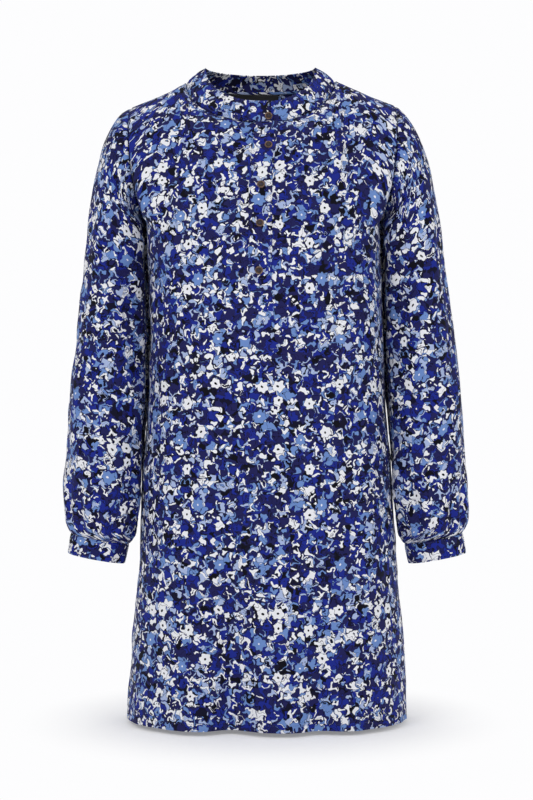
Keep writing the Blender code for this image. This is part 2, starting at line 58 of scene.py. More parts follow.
# Body of the dress from the underarm to the hem, a row for each height.
# z, half width, depth of the front, depth of the back, sideways shift
BODY_ROWS = (
    (-0.180, 0.1570, 0.112, 0.100, 0.000),
    (-0.240, 0.1560, 0.124, 0.096, 0.001),
    (-0.330, 0.1555, 0.122, 0.088, 0.003),
    (-0.431, 0.1590, 0.121, 0.088, 0.003),
    (-0.530, 0.1670, 0.124, 0.096, 0.003),
    (-0.644, 0.1720, 0.128, 0.107, 0.003),
    (-0.765, 0.1828, 0.132, 0.116, 0.005),
    (-0.855, 0.1868, 0.133, 0.122, 0.003),
)
SECTION_POWER = 0.833
COLUMN_POWER = 1.2

# Folds that fall from the hips to the hem.
# x of the fold, width, outward height at the hem, z where it starts
FRONT_FOLDS = (
    (-0.108, 0.030, 0.005, -0.46),
    (-0.044, 0.026, -0.020, -0.40),
    (0.020, 0.028, 0.004, -0.52),
    (0.068, 0.021, -0.010, -0.50),
    (0.118, 0.030, 0.006, -0.48),
)
BACK_FOLDS = (
    (-0.090, 0.026, -0.011, -0.47),
    (-0.034, 0.028, 0.007, -0.42),
    (0.030, 0.027, -0.017, -0.38),
    (0.092, 0.030, 0.008, -0.50),
)

# Neck seam, collar and shoulder
NECK_SHIFT = -0.0055
NECK_HALF_WIDTH = 0.100
NECK_FRONT = 0.071
NECK_BACK = 0.074
NECK_SIDE_Z = -0.002
NECK_FRONT_DROP = 0.066
NECK_BACK_DROP = 0.004
COLLAR_HALF_WIDTH = 0.0735
COLLAR_FRONT = 0.062
COLLAR_BACK = 0.062
COLLAR_SIDE_Z = 0.0170
COLLAR_FRONT_DROP = 0.0560
SHOULDER_POINT = (0.1765, 0.006, -0.038)
NECK_SHARE = 0.56

# How the lines of the front and back reach the top edge: share of the half panel,
# then the tangent (sideways, towards the other panel, up).
FRONT_TOP_TANGENTS = (
    (0.00, 0.000, 0.060, 0.105),
    (0.30, -0.008, 0.105, 0.070),
    (0.56, -0.020, 0.165, 0.004),
    (0.80, -0.015, 0.200, 0.000),
    (1.00, -0.020, 0.236, 0.000),
)
BACK_TOP_TANGENTS = (
    (0.00, 0.000, 0.040, 0.120),
    (0.30, -0.008, 0.100, 0.075),
    (0.56, -0.020, 0.165, 0.004),
    (0.80, -0.015, 0.205, 0.000),
    (1.00, -0.020, 0.250, 0.000),
)
RISE = 0.16
ARMHOLE_START = (0.050, -0.240, 0.000)
TANGENT_STEP = 0.004

# Collar band: where its two ends stop, as turns from the middle of the front, and how they lap
COLLAR_ENDS = (-13.5, 368.4)
COLLAR_LAP = 0.0011
COLLAR_LAP_TURN = 33.0
COLLAR_CROWN = 0.0015

# Sleeve, a row for each ring below the arm's top.
# z, centre x, centre y, half width, half depth, tilt
SLEEVE_ROWS = (
    (-0.2400, 0.2028, 0.002, 0.0397, 0.0565, 0.0),
    (-0.3000, 0.2054, 0.001, 0.0437, 0.0570, 0.0),
    (-0.3770, 0.2103, -0.003, 0.0472, 0.0580, 1.0),
    (-0.4310, 0.2138, -0.007, 0.0495, 0.0590, 2.0),
    (-0.5070, 0.2184, -0.013, 0.0486, 0.0595, 5.0),
    (-0.5600, 0.2216, -0.018, 0.0468, 0.0590, 8.0),
    (-0.5880, 0.2219, -0.021, 0.0454, 0.0540, 9.5),
    (-0.6060, 0.2220, -0.023, 0.0424, 0.0440, 10.5),
    (-0.6147, 0.2224, -0.024, 0.0388, 0.0335, 10.5),
)
INNER_POWER = 0.72
INNER_REST = 0.010
SLEEVE_SHIFT = 0.0015
CAP_REACH = (0.045, 0.150)
CAP_DROP = (0.050, 0.165)
CAP_DIRECTION_LOW = (0.78, -0.62)
CAP_DIRECTION_TOP = (0.91, -0.41)
GATHERS = 14
GATHER_HEIGHT = 0.0034
GATHER_REACH = 0.085

# Folds of the sleeve.
# turn from the underarm, width, height, z of the middle, half length, slant per metre
SLEEVE_FOLDS = (
    (60.0, 22.0, -0.0050, -0.30, 0.10, 160.0),
    (118.0, 26.0, 0.0040, -0.42, 0.13, -120.0),
    (150.0, 18.0, -0.0035, -0.50, 0.09, 90.0),
    (255.0, 24.0, -0.0050, -0.36, 0.12, -140.0),
    (305.0, 22.0, 0.0040, -0.48, 0.10, 110.0),
)

# The dress isn't quite even: one shoulder hangs lower. x, width, lift
SHOULDER_LIFTS = (
    (-0.128, 0.035, -0.0040),
    (0.172, 0.030, 0.0025),
)
# and its sides lie a little to one side. z, sideways shift
SIDE_SHIFTS = (
    (-0.700, 0.0000),
    (-0.660, 0.0016),
    (-0.610, 0.0016),
    (-0.560, 0.0000),
    (-0.340, 0.0000),
    (-0.220, -0.0022),
    (0.030, -0.0022),
)

# Cuff
CUFF_HEIGHT = 0.0260
CUFF_TILT = 10.5
CUFF_TOP = (0.2224, -0.024, -0.6150)
CUFF_HALF = (0.0385, 0.0330)
CUFF_HALF_LOW = (0.0376, 0.0328)

# Front opening. z, x of its middle
PLACKET_PATH = (
    (-0.040, 0.0030),
    (-0.066, 0.0026),
    (-0.100, 0.0000),
    (-0.125, -0.0030),
    (-0.154, -0.0048),
    (-0.205, -0.0052),
    (-0.300, -0.0060),
)
PLACKET_HALF_WIDTH = 0.0150
PLACKET_BOTTOM_Z = -0.292
SLOT_HALF_WIDTH = 0.0115
SLOT_BOTTOM_Z = -0.287
SLOT_SHARE = 0.060
LAYER = WALL + SEAM_GAP + 0.0001

# Buttons. z, x
BUTTON_PLACES = (
    (-0.0600, 0.0056),
    (-0.1005, 0.0054),
    (-0.1540, -0.0045),
    (-0.2047, -0.0057),
    (-0.2655, -0.0068),
)
BUTTON_RADIUS = 0.0052
BUTTON_THICKNESS = 0.0024
# Its four holes: how far from the middle, and how far to each side; the bars of thread between them
HOLE_PLACE = 0.00150
HOLE_STEP = 0.00106
HOLE_RADIUS = 0.00062
HOLE_DEPTH = 0.0012
BAR_LENGTH = 0.0025
BAR_LIFT = 0.00155
BAR_NUDGE = 0.00016

# Neck label
LABEL_X = -0.0145
LABEL_HALF_WIDTH = 0.034
LABEL_TOP = 0.0008
LABEL_HEIGHT = 0.012

# Cloth as it is seen: thinner than the CAD model's walls
SEEN_WALL = 0.0010
SEEN_BAND = 0.0015
SEEN_PLACKET = 0.0012
SEEN_CUFF = 0.0019
SEEN_TURNING = 0.0008
SEEN_ALLOWANCE = 0.0005
SEEN_TAPE = 0.0007

# Distances from an edge at which the grid has extra lines, in metres
EDGE_STEPS = (0.0, 0.0005, 0.0010, 0.0016, 0.0024, 0.0036, 0.0052, 0.0075)
# Length and count of the rows up to the chest row or the arm's top, then of the rows above it
PANEL_GRID = (0.65, 128, 0.24, 44)
SLEEVE_GRID = (0.375, 88, 0.15, 34)
PANEL_HALF_GIRTH = 0.30
PANEL_COLUMNS = 110
SLEEVE_COLUMNS = 164
CUFF_COLUMNS = 120
COLLAR_COLUMNS = 220
COLLAR_HEIGHT = 0.0195
# Radius that lays a sleeve flat for its creases
SLEEVE_RADIUS = 0.052

# Relief of the cloth. Creases fade towards the seams over these ways
PANEL_CALM = 0.012
SLEEVE_CALM = 0.014
CREASE_GAIN = 1.25
# The hem's ripple: height, and the way up in which it dies
RIPPLE = 0.0006
RIPPLE_FADE = 0.030
# Valleys along edges and stitches. depth, width
HEM_LINE = (0.0004, 0.0011)
GATHER_LINE = (0.0007, 0.0012)
CUFF_EDGE_LINE = (0.0004, 0.0012)
CUFF_STITCH_LINE = (0.00025, 0.0008)
COLLAR_EDGE_LINE = (0.0003, 0.0010)
COLLAR_STITCH_LINE = (0.0002, 0.0008)
# Where those stitches are: from the edge, and from the seam
STITCH_PLACES = (0.0020, 0.0022)
SMALL_SEAM_DIP = 0.0008

# Creases of the front. Ends (x, z), bow, width, height; a negative height is a trough
FRONT_CREASES = (
    (-0.152, -0.212, -0.070, -0.300, 0.006, 0.010, 0.0024),
    (-0.150, -0.240, -0.088, -0.372, -0.008, 0.012, 0.0022),
    (0.153, -0.220, 0.082, -0.288, -0.005, 0.009, 0.0022),
    (0.150, -0.250, 0.098, -0.392, 0.008, 0.012, 0.0024),
    (-0.140, -0.080, -0.108, -0.222, -0.006, 0.011, 0.0018),
    (0.142, -0.092, 0.116, -0.240, 0.006, 0.011, 0.0018),
    (-0.060, -0.048, -0.092, -0.112, 0.003, 0.007, 0.0010),
    (0.052, -0.050, 0.088, -0.118, -0.003, 0.007, 0.0010),
    (-0.006, -0.296, -0.014, -0.480, 0.003, 0.009, 0.0020),
    (-0.072, -0.290, -0.060, -0.620, 0.006, 0.016, 0.0026),
    (0.080, -0.300, 0.056, -0.650, -0.006, 0.017, 0.0026),
    (-0.122, -0.370, -0.132, -0.700, -0.004, 0.013, 0.0022),
    (0.130, -0.380, 0.140, -0.720, 0.004, 0.013, 0.0022),
    (0.022, -0.420, 0.034, -0.640, -0.004, 0.013, -0.0020),
    (-0.030, -0.520, -0.022, -0.760, 0.003, 0.012, 0.0018),
    (0.098, -0.600, 0.104, -0.880, 0.002, 0.011, -0.0020),
    (-0.080, -0.660, -0.086, -0.880, 0.002, 0.010, 0.0018),
)
BACK_CREASES = (
    (-0.150, -0.205, -0.080, -0.282, 0.006, 0.010, 0.0024),
    (0.152, -0.214, 0.072, -0.310, -0.006, 0.011, 0.0024),
    (0.150, -0.250, 0.100, -0.390, 0.008, 0.012, 0.0020),
    (-0.148, -0.246, -0.104, -0.372, -0.007, 0.011, 0.0022),
    (-0.128, -0.070, -0.112, -0.215, -0.005, 0.012, 0.0018),
    (0.128, -0.076, 0.108, -0.235, 0.005, 0.012, 0.0018),
    (-0.050, -0.180, -0.064, -0.520, 0.005, 0.016, -0.0024),
    (0.052, -0.200, 0.060, -0.560, -0.005, 0.017, -0.0026),
    (0.004, -0.260, -0.004, -0.600, 0.004, 0.018, 0.0024),
    (-0.118, -0.400, -0.128, -0.720, 0.004, 0.013, 0.0022),
    (0.124, -0.420, 0.130, -0.740, -0.003, 0.013, 0.0020),
    (0.060, -0.600, 0.066, -0.880, 0.003, 0.012, 0.0020),
    (-0.060, -0.640, -0.058, -0.880, 0.003, 0.011, 0.0018),
)
# Creases of a sleeve, laid flat: ends (metres round from the outer side, z), bow, width, height.
# The front of the sleeve is from -0.160 to 0, and its back from 0 to 0.160.
SLEEVE_CREASES = (
    (-0.150, -0.205, -0.060, -0.262, 0.004, 0.009, 0.0020),
    (-0.148, -0.262, -0.050, -0.322, -0.006, 0.010, 0.0026),
    (-0.152, -0.338, -0.048, -0.398, 0.008, 0.011, 0.0030),
    (-0.146, -0.388, -0.034, -0.448, 0.006, 0.010, -0.0026),
    (-0.140, -0.452, -0.060, -0.520, -0.006, 0.012, 0.0024),
    (-0.072, -0.100, -0.052, -0.290, -0.006, 0.013, 0.0022),
    (-0.030, -0.140, -0.018, -0.360, 0.006, 0.014, -0.0020),
    (-0.020, -0.360, -0.030, -0.540, 0.005, 0.014, 0.0022),
    (-0.100, -0.500, -0.090, -0.612, 0.003, 0.009, 0.0026),
    (-0.058, -0.490, -0.054, -0.612, -0.003, 0.009, -0.0022),
    (-0.014, -0.500, -0.016, -0.612, 0.003, 0.010, 0.0024),
    (0.026, -0.490, 0.022, -0.612, 0.003, 0.009, -0.0022),
    (0.070, -0.496, 0.060, -0.612, -0.003, 0.010, 0.0024),
    (0.148, -0.230, 0.050, -0.300, 0.006, 0.010, 0.0024),
    (0.150, -0.330, 0.052, -0.384, -0.008, 0.011, 0.0028),
    (0.146, -0.392, 0.040, -0.436, -0.006, 0.010, -0.0024),
    (0.040, -0.130, 0.030, -0.330, 0.006, 0.014, 0.0022),
    (0.110, -0.470, 0.100, -0.600, 0.004, 0.011, 0.0022),
)

# The small unevenness of hanging cloth. length of the wave, its direction in radians, height
SLACK_WAVES = (
    (0.110, 1.30, 0.00050),
    (0.083, 0.45, 0.00040),
    (0.061, 1.80, 0.00034),
    (0.047, 0.95, 0.00022),
    (0.038, 2.40, 0.00016),
)

# Sewing
SEAM_DIP = 0.0011
SEAM_REACH = 0.0016
PUCKER = 0.00028
PUCKER_REACH = 0.0075
HEM_STITCH = 0.0095
EDGE_STITCH = 0.0021
# Rows of stitches across the placket, up from its lower end
PLACKET_CROSS_STITCHES = (0.0020, 0.0160)
# The hem's turning: how far it reaches past the stitches, and how far inside the cloth it lies
TURNING_PAST = 0.0015
TURNING_DEPTH = 0.0012
STITCH_PITCH = 0.0029
STITCH_LENGTH = 0.0021
STITCH_WIDTH = 0.00044
# How far a stitch lies off the cloth it is sewn on
STITCH_LIFT = STITCH_WIDTH / 8
FINE_PLEATS = 41
FINE_PLEAT_HEIGHT = 0.0011
FINE_PLEAT_REACH = 0.040

# How far a sleeve leans on the body's side: height, behind on the +X and the -X sleeve, before on
# the +X and the -X sleeve. LEAN_TURNS and LEAN_WIDTH say where round the sleeve, in degrees.
LEAN = (
    (-0.606, 0.0000, 0.0000, 0.0000, 0.0010),
    (-0.588, 0.0015, 0.0040, 0.0066, 0.0086),
    (-0.574, 0.0022, 0.0066, 0.0092, 0.0126),
    (-0.558, 0.0022, 0.0080, 0.0108, 0.0140),
    (-0.540, 0.0008, 0.0072, 0.0090, 0.0122),
    (-0.520, -0.0016, 0.0060, 0.0054, 0.0090),
    (-0.485, -0.0011, 0.0062, 0.0028, 0.0072),
    (-0.450, 0.0022, 0.0072, 0.0022, 0.0062),
    (-0.390, 0.0026, 0.0064, 0.0022, 0.0054),
    (-0.330, 0.0030, 0.0054, 0.0026, 0.0046),
    (-0.270, 0.0044, 0.0044, 0.0037, 0.0037),
    (-0.240, 0.0064, 0.0056, 0.0054, 0.0048),
    (-0.218, 0.0100, 0.0092, 0.0085, 0.0078),
    (-0.204, 0.0101, 0.0096, 0.0086, 0.0082),
    (-0.193, 0.0116, 0.0106, 0.0099, 0.0090),
    (-0.187, 0.0092, 0.0096, 0.0051, 0.0048),
    (-0.183, 0.0050, 0.0069, 0.0026, 0.0024),
    (-0.178, 0.0000, 0.0000, 0.0000, 0.0000),
)
LEAN_TURNS = (-29.0, 30.0)
LEAN_WIDTH = 20.0


def smooth_step(t):
    """0 below 0, 1 above 1, and an S-curve between."""
    t = np.clip(t, 0.0, 1.0)
    return t * t * (3.0 - 2.0 * t)


def mix(a, b, share):
    return a + (b - a) * share


def bell(away, width):
    """exp(-(away / width)^2): 1 in the middle, next to nothing at twice the width."""
    return np.exp(-((away / width) ** 2))


def hermite(start, start_tangent, end, end_tangent, t):
    """The cubic from start to end that leaves along one tangent and arrives along the other."""
    t = t[..., None]
    return (
        start * (2 * t**3 - 3 * t**2 + 1)
        + start_tangent * (t**3 - 2 * t**2 + t)
        + end * (3 * t**2 - 2 * t**3)
        + end_tangent * (t**3 - t**2)
    )


def read_rows(rows, at):
    """The other columns of a table at the places `at` of its first, on a curve through its rows."""
    table = np.array(sorted(rows), float)
    key, values = table[:, 0], table[:, 1:]
    slopes = np.gradient(values, key, axis=0)
    at = np.clip(np.asarray(at, float), key[0], key[-1])
    low = np.clip(np.searchsorted(key, at) - 1, 0, len(key) - 2)
    step = key[low + 1] - key[low]
    start, end = slopes[low] * step[..., None], slopes[low + 1] * step[..., None]
    return hermite(values[low], start, values[low + 1], end, (at - key[low]) / step)


def body_point(share, z, front):
    """The body at a share of the half girth, -1 at one side seam and 1 at the other, and a height z.
    Each section is a rounded oval, flatter than an ellipse, whose depth the hem's folds change."""
    share, z = np.broadcast_arrays(share, z)
    half_width, front_depth, back_depth, shift = np.moveaxis(read_rows(BODY_ROWS, z), -1, 0)
    turn = np.sign(share) * np.abs(share) ** COLUMN_POWER * np.pi / 2
    across = np.sign(turn) * np.abs(np.sin(turn)) ** SECTION_POWER * half_width
    depth = front_depth if front else back_depth
    for x, width, height, top in FRONT_FOLDS if front else BACK_FOLDS:
        depth = depth + height * bell(across - x, width) * smooth_step((top - z) / (top - HEM_Z))
    facing = -1.0 if front else 1.0
    y = facing * depth * np.abs(np.cos(turn)) ** SECTION_POWER
    return np.stack((across + shift, y + facing * SEAM_GAP / 2, z), axis=-1)


def chest_row(share):
    """Height of the row that runs from one underarm to the other, lower at the middle."""
    return UNDERARM_Z - CHEST_ROW_DIP * (1.0 - np.abs(share) ** 3)


def neck_seam(turn):
    """The neck seam at an angle from the middle of the front, positive towards +X."""
    cos, sin = np.cos(turn), np.sin(turn)
    depth = np.where(cos > 0, NECK_FRONT, NECK_BACK)
    drop = np.where(cos > 0, NECK_FRONT_DROP, NECK_BACK_DROP)
    x = NECK_SHIFT + NECK_HALF_WIDTH * sin
    return np.stack((x, -depth * cos, NECK_SIDE_Z - drop * np.abs(cos)), axis=-1)


def collar_edge(turn):
    """The collar's upper edge at an angle from the middle of the front."""
    cos, sin = np.cos(turn), np.sin(turn)
    depth = np.where(cos > 0, COLLAR_FRONT, COLLAR_BACK)
    drop = np.where(cos > 0, COLLAR_FRONT_DROP * np.abs(cos) ** 0.95, 0.0)
    x = NECK_SHIFT + COLLAR_HALF_WIDTH * sin
    return np.stack((x, -depth * cos, COLLAR_SIDE_Z - drop), axis=-1)


def top_edge(share, front):
    """The top edge of the front or back: the neck seam in the middle, then the shoulder seam."""
    side = np.where(share < 0, -1.0, 1.0)
    size = np.abs(share)
    quarter = np.clip(size / NECK_SHARE, 0.0, 1.0) * np.pi / 2
    turn = side * (quarter if front else np.pi - quarter)
    neck = neck_seam(turn)
    along = np.clip((size - NECK_SHARE) / (1.0 - NECK_SHARE), 0.0, 1.0)[..., None]
    x, y, z = SHOULDER_POINT
    point = np.stack((side * x, np.full(size.shape, y), np.full(size.shape, z)), axis=-1)
    facing = -1.0 if front else 1.0
    return mix(neck, point, along) + np.array((0.0, facing * SEAM_GAP / 2, 0.0))


def upper_point(share, rise, front):
    """The chest or upper back, from the chest row (rise 0) to the top edge (rise 1).
    Each line is a cubic: the middle ones go up, and those at the armhole leave the underarm
    level and forwards, so that the outermost line is the armhole's edge."""
    share, rise = np.broadcast_arrays(share, rise)
    side = np.where(share < 0, -1.0, 1.0)
    facing = -1.0 if front else 1.0
    low_z = chest_row(share)
    start = body_point(share, low_z, front)
    up = (start - body_point(share, low_z - TANGENT_STEP, front)) / TANGENT_STEP * RISE
    x, y, z = ARMHOLE_START
    level = np.stack((side * x, np.full(side.shape, -facing * y), np.full(side.shape, z)), axis=-1)
    start_tangent = mix(up, level, smooth_step((np.abs(share) - 0.55) / 0.45)[..., None])
    rows = FRONT_TOP_TANGENTS if front else BACK_TOP_TANGENTS
    inward, over, lift = np.moveaxis(read_rows(rows, np.abs(share)), -1, 0)
    end_tangent = np.stack((side * inward, -facing * over, lift), axis=-1)
    return hermite(start, start_tangent, top_edge(share, front), end_tangent, rise)


def panel_point(share, row, front):
    """The front or back panel: row 0 is the hem, row 1 the chest row and row 2 the top edge."""
    share, row = np.broadcast_arrays(np.asarray(share, float), np.asarray(row, float))
    low = body_point(share, mix(HEM_Z, chest_row(share), np.clip(row, 0.0, 1.0)), front)
    high = upper_point(share, np.clip(row - 1.0, 0.0, 1.0), front)
    return np.where((row <= 1.0)[..., None], low, high)


def opening_middle(line):
    """Sideways place of the opening's middle on a row of the front."""
    height = np.interp(0.0, line[:, 0], line[:, 2])
    return float(read_rows(PLACKET_PATH, height)[0])


def front_shares(base, rows):
    """Shares of the front's grid: the columns beside the opening follow its edges,
    and the others are spread from there to the side seams."""
    shares = np.linspace(-0.35, 0.35, 141)
    grid = []
    for line in panel_point(shares[None, :], rows[:, None], True):
        edges = opening_middle(line) + np.array((-SLOT_HALF_WIDTH, SLOT_HALF_WIDTH))
        left, right = np.interp(edges, line[:, 0], shares)
        grid.append(np.interp(base, (-1.0, -SLOT_SHARE, SLOT_SHARE, 1.0), (-1.0, left, right, 1.0)))
    return np.array(grid)


def along_line(at, gone, line):
    """Points of a line at the places `at`, where gone is the place of each of its points."""
    return np.stack([np.interp(at, gone, line[:, axis]) for axis in range(3)], axis=-1)


def armhole(turn):
    """The armhole of the +X side at an angle from the underarm: front, over the shoulder, then back.
    The seen cloth is finer than the CAD model's, so its armhole is the smooth curve itself."""
    rises = np.linspace(0.0, 1.0, 121)
    side = np.ones(rises.shape)
    front = along_line(turn / np.pi, rises, upper_point(side, rises, True))
    back = along_line(2.0 - turn / np.pi, rises, upper_point(side, rises, False))
    return np.where((turn <= np.pi)[..., None], front, back)


def sleeve_ring(turn, z):
    """A ring of the lower sleeve: a tilted ellipse on its centre line, with folds and gathers."""
    turn, z = np.broadcast_arrays(turn, z)
    centre_x, centre_y, half_width, half_depth, tilt = np.moveaxis(read_rows(SLEEVE_ROWS, z), -1, 0)
    bottom = SLEEVE_ROWS[-1][0]
    above = np.clip((z - bottom) / GATHER_REACH, 0.0, 1.0)
    swell = (0.3 + 0.7 * smooth_step(above / 0.16)) * (1.0 - smooth_step((above - 0.16) / 0.84))
    wave = np.cos(GATHERS * turn + 0.6 * np.sin(2 * turn) + 0.4 * np.sin(5 * turn))
    bump = GATHER_HEIGHT * swell * wave * (0.8 + 0.2 * np.cos(3 * turn + 1.0))
    for at, width, height, middle, half_length, slant in SLEEVE_FOLDS:
        away = np.degrees(turn) - at - slant * (z - middle)
        away = (away + 180.0) % 360.0 - 180.0
        bump = bump + height * bell(away, width) * bell(z - middle, half_length)
    rests = smooth_step((z + 0.60) / 0.09)
    inner = np.maximum(np.cos(turn), 0.0)
    flat = inner ** mix(1.0, INNER_POWER, rests)
    out = (np.maximum(-np.cos(turn), 0.0) - flat) * (half_width + bump)
    out = out - INNER_REST * smooth_step((z + 0.47) / 0.12) * flat * np.maximum(-np.sin(turn), 0.0)
    y = centre_y - np.sin(turn) * (half_depth + bump)
    tilt = np.radians(tilt)
    return np.stack((centre_x + out * np.cos(tilt), y, z + out * np.sin(tilt)), axis=-1)


def sleeve_point(turn, row):
    """The +X sleeve: row 0 is the cuff seam, row 1 the ring below the arm's top and row 2 the armhole.
    Above row 1 each line is a cubic that leaves the armhole outwards and turns down."""
    turn, row = np.broadcast_arrays(np.asarray(turn, float), np.asarray(row, float))
    turn = turn % (2 * np.pi)
    top_z, bottom_z = SLEEVE_ROWS[0][0], SLEEVE_ROWS[-1][0]
    low = sleeve_ring(turn, mix(bottom_z, top_z, np.clip(row, 0.0, 1.0)))
    over = (1.0 - np.cos(turn)) / 2.0
    x = mix(CAP_DIRECTION_LOW[0], CAP_DIRECTION_TOP[0], over)
    z = mix(CAP_DIRECTION_LOW[1], CAP_DIRECTION_TOP[1], over)
    direction = np.stack((x, -0.12 * np.sin(turn), z), axis=-1)
    direction /= np.linalg.norm(direction, axis=-1, keepdims=True)
    gap = mix(0.8 * WALL, SEAM_GAP + 0.0002, over**2)[..., None]
    end = sleeve_ring(turn, np.full(turn.shape, top_z))
    down = (sleeve_ring(turn, np.full(turn.shape, top_z - TANGENT_STEP)) - end) / TANGENT_STEP
    leave = direction * mix(CAP_REACH[0], CAP_REACH[1], over)[..., None]
    arrive = down * mix(CAP_DROP[0], CAP_DROP[1], over)[..., None]
    high = hermite(armhole(turn) + direction * gap, leave, end, arrive, 2.0 - np.clip(row, 1.0, 2.0))
    return np.where((row <= 1.0)[..., None], low, high)


def cuff_point(turn, down):
    """The +X cuff: a tilted ring that narrows a little from its seam (down 0) to its edge (1)."""
    turn, down = np.broadcast_arrays(turn, down)
    tilt = np.radians(CUFF_TILT)
    axis = np.array((np.sin(tilt), 0.0, -np.cos(tilt)))
    across = np.array((np.cos(tilt), 0.0, np.sin(tilt)))
    half_width = mix(CUFF_HALF[0], CUFF_HALF_LOW[0], down)
    half_depth = mix(CUFF_HALF[1], CUFF_HALF_LOW[1], down)
    centre = np.array(CUFF_TOP) + axis * (SEAM_GAP + WALL / 4)
    ring = across * (-np.cos(turn) * half_width)[..., None]
    ring = ring - np.array((0.0, 1.0, 0.0)) * (np.sin(turn) * half_depth)[..., None]
    return centre + ring + axis * (CUFF_HEIGHT * down)[..., None]


def on_side(points, side, shift):
    """Points made for the +X side, mirrored for the other side and moved sideways by shift."""
    if side < 0:
        points = points[:, ::-1] * np.array((-1.0, 1.0, 1.0))
    return points + shift * np.array((1.0, 0.0, 0.0))


def settle(points):
    """Points of the cloth moved by the small differences between the dress's two sides."""
    x, z = points[..., 0], points[..., 2]
    moved = points.copy()
    for at, width, lift in SHOULDER_LIFTS:
        moved[..., 2] += lift * bell(x - at, width) * smooth_step((z + 0.20) / 0.12)
    heights, shifts = np.array(SIDE_SHIFTS).T
    moved[..., 0] += np.interp(z, heights, shifts) * smooth_step((np.abs(x) - 0.10) / 0.06)
    return moved


def unit(vectors):
    return vectors / np.maximum(np.linalg.norm(vectors, axis=-1, keepdims=True), 1e-12)


def outward(points, closed=False):
    """Unit normals of a grid: the way across each row times the way up each column."""
    if closed:
        along = np.roll(points, -1, axis=1) - np.roll(points, 1, axis=1)
    else:
        along = np.gradient(points, axis=1)
    return unit(np.cross(along, np.gradient(points, axis=0)))


def run(points, axis, parts=(0, 1, 2)):
    """How far each row (axis 1) or column (axis 0) has run from its first point, in these parts."""
    steps = np.linalg.norm(np.diff(points[..., list(parts)], axis=axis), axis=-1)
    start = np.zeros_like(np.take(steps, [0], axis=axis))
    return np.concatenate((start, np.cumsum(steps, axis=axis)), axis=axis)


def crease_height(across, up, creases):
    """Height of the creases: a ridge bell(off, width) with a weaker trough beside it, where off
    is the way from a bowed line between the crease's ends, and both fade towards the ends."""
    total = np.zeros(np.broadcast(across, up).shape)
    for a0, z0, a1, z1, bow, width, height in creases:
        length = np.hypot(a1 - a0, z1 - z0)
        share = ((across - a0) * (a1 - a0) + (up - z0) * (z1 - z0)) / length**2
        off = ((across - a0) * (z1 - z0) - (up - z0) * (a1 - a0)) / length
        off = off - bow * 4.0 * np.clip(share, 0.0, 1.0) * np.clip(1.0 - share, 0.0, 1.0)
        fade = smooth_step(share / 0.35) * smooth_step((1.0 - share) / 0.35)
        ridge = bell(off, width) - 0.55 * bell(off - 1.7 * width, width)
        total = total + height * fade * ridge
    return total


def slackness(across, up, seed):
    """Height of the bent waves that hanging cloth never loses."""
    total = 0.0
    for number, (wave, turn, size) in enumerate(SLACK_WAVES):
        way = across * np.cos(turn + seed) + up * np.sin(turn + seed)
        bent = 0.25 * np.sin(2 * np.pi * (across - up) / 0.19 + seed * 2.0 + number)
        total = total + size * np.sin(2 * np.pi * way / wave + 5.0 * bent + number * 1.9 + seed)
    return total


def seam_height(away, along, dip=SEAM_DIP):
    """A sewn seam: a valley along the edge, and light puckers beside it."""
    waves = np.sin(2 * np.pi * along / 0.0113) + 0.7 * np.sin(2 * np.pi * along / 0.0167 + 1.0)
    return PUCKER * waves * bell(away, PUCKER_REACH) - dip * bell(away, SEAM_REACH)


def line_height(away, depth, width):
    """A narrow valley that a row of stitches pulls into the cloth."""
    return -depth * bell(away, width)


def put(name, data, place=(0.0, 0.0, 0.0), turn=(0.0, 0.0, 0.0)):
    """An object of this data, put into the scene."""
    thing = bpy.data.objects.new(name, data)
    thing.location = place
    thing.rotation_euler = turn
    bpy.context.scene.collection.objects.link(thing)
    return thing


def mesh_object(name, points, faces, uv, material):
    """A mesh from arrays of points, faces and each face corner's place on the cloth in metres."""
    mesh = bpy.data.meshes.new(name)
    mesh.from_pydata(points.reshape(-1, 3).tolist(), [], faces.tolist())
    if uv is not None:
        layer = mesh.uv_layers.new(name="cloth")
        layer.data.foreach_set("uv", np.asarray(uv, np.float32).reshape(-1))
    mesh.shade_smooth()
    mesh.materials.append(material)
    return put(name, mesh)


def grid_corners(rows, columns, closed):
    """For each quad of a grid: its four points' numbers, and the rows and columns of its corners."""
    row, column = np.mgrid[: rows - 1, : columns if closed else columns - 1]
    corner_rows = np.stack((row, row, row + 1, row + 1), axis=-1)
    corner_columns = np.stack((column, column + 1, column + 1, column), axis=-1)
    return corner_rows * columns + corner_columns % columns, corner_rows, corner_columns


def cloth(name, points, place, material, wall=SEEN_WALL, closed=False, keep=None):
    """A shell of cloth from a grid of points. place gives each point's metres on the cloth, and for a
    closed grid it has one more column, so that the print doesn't run back across the last quad."""
    rows, columns = points.shape[:2]
    corners = grid_corners(rows, columns, closed)
    if keep is not None:
        corners = [of_all[keep] for of_all in corners]
    numbers, corner_rows, corner_columns = corners
    used, faces = np.unique(numbers, return_inverse=True)
    points = settle(points).reshape(-1, 3)[used]
    uv = place[corner_rows, corner_columns]
    piece = mesh_object(name, points, faces.reshape(-1, 4), uv, material)
    solid = piece.modifiers.new("cloth thickness", "SOLIDIFY")
    solid.thickness = wall
    solid.offset = 0.0
    return piece


def edge_places(low, high, middle, size):
    """Places from low to high: close together near both ends at EDGE_STEPS / size, even between."""
    near = np.array(EDGE_STEPS) / size
    inner = np.linspace(low + near[-1], high - near[-1], middle)
    return np.concatenate((low + near[:-1], inner, (high - near[:-1])[::-1]))


def graded_rows(low_size, low_count, high_size, high_count):
    """Rows from 0 to 2, close together at both ends. The sizes are the metres from row 0 to row 1 and
    from row 1 to row 2."""
    near = np.array(EDGE_STEPS)
    low, high = near / low_size, 1.0 - near[::-1] / high_size
    below = np.concatenate((low[:-1], np.linspace(low[-1], 1.0, low_count)))
    return np.concatenate((below, 1.0 + np.linspace(0.0, high[0], high_count)[1:], 1.0 + high[1:]))


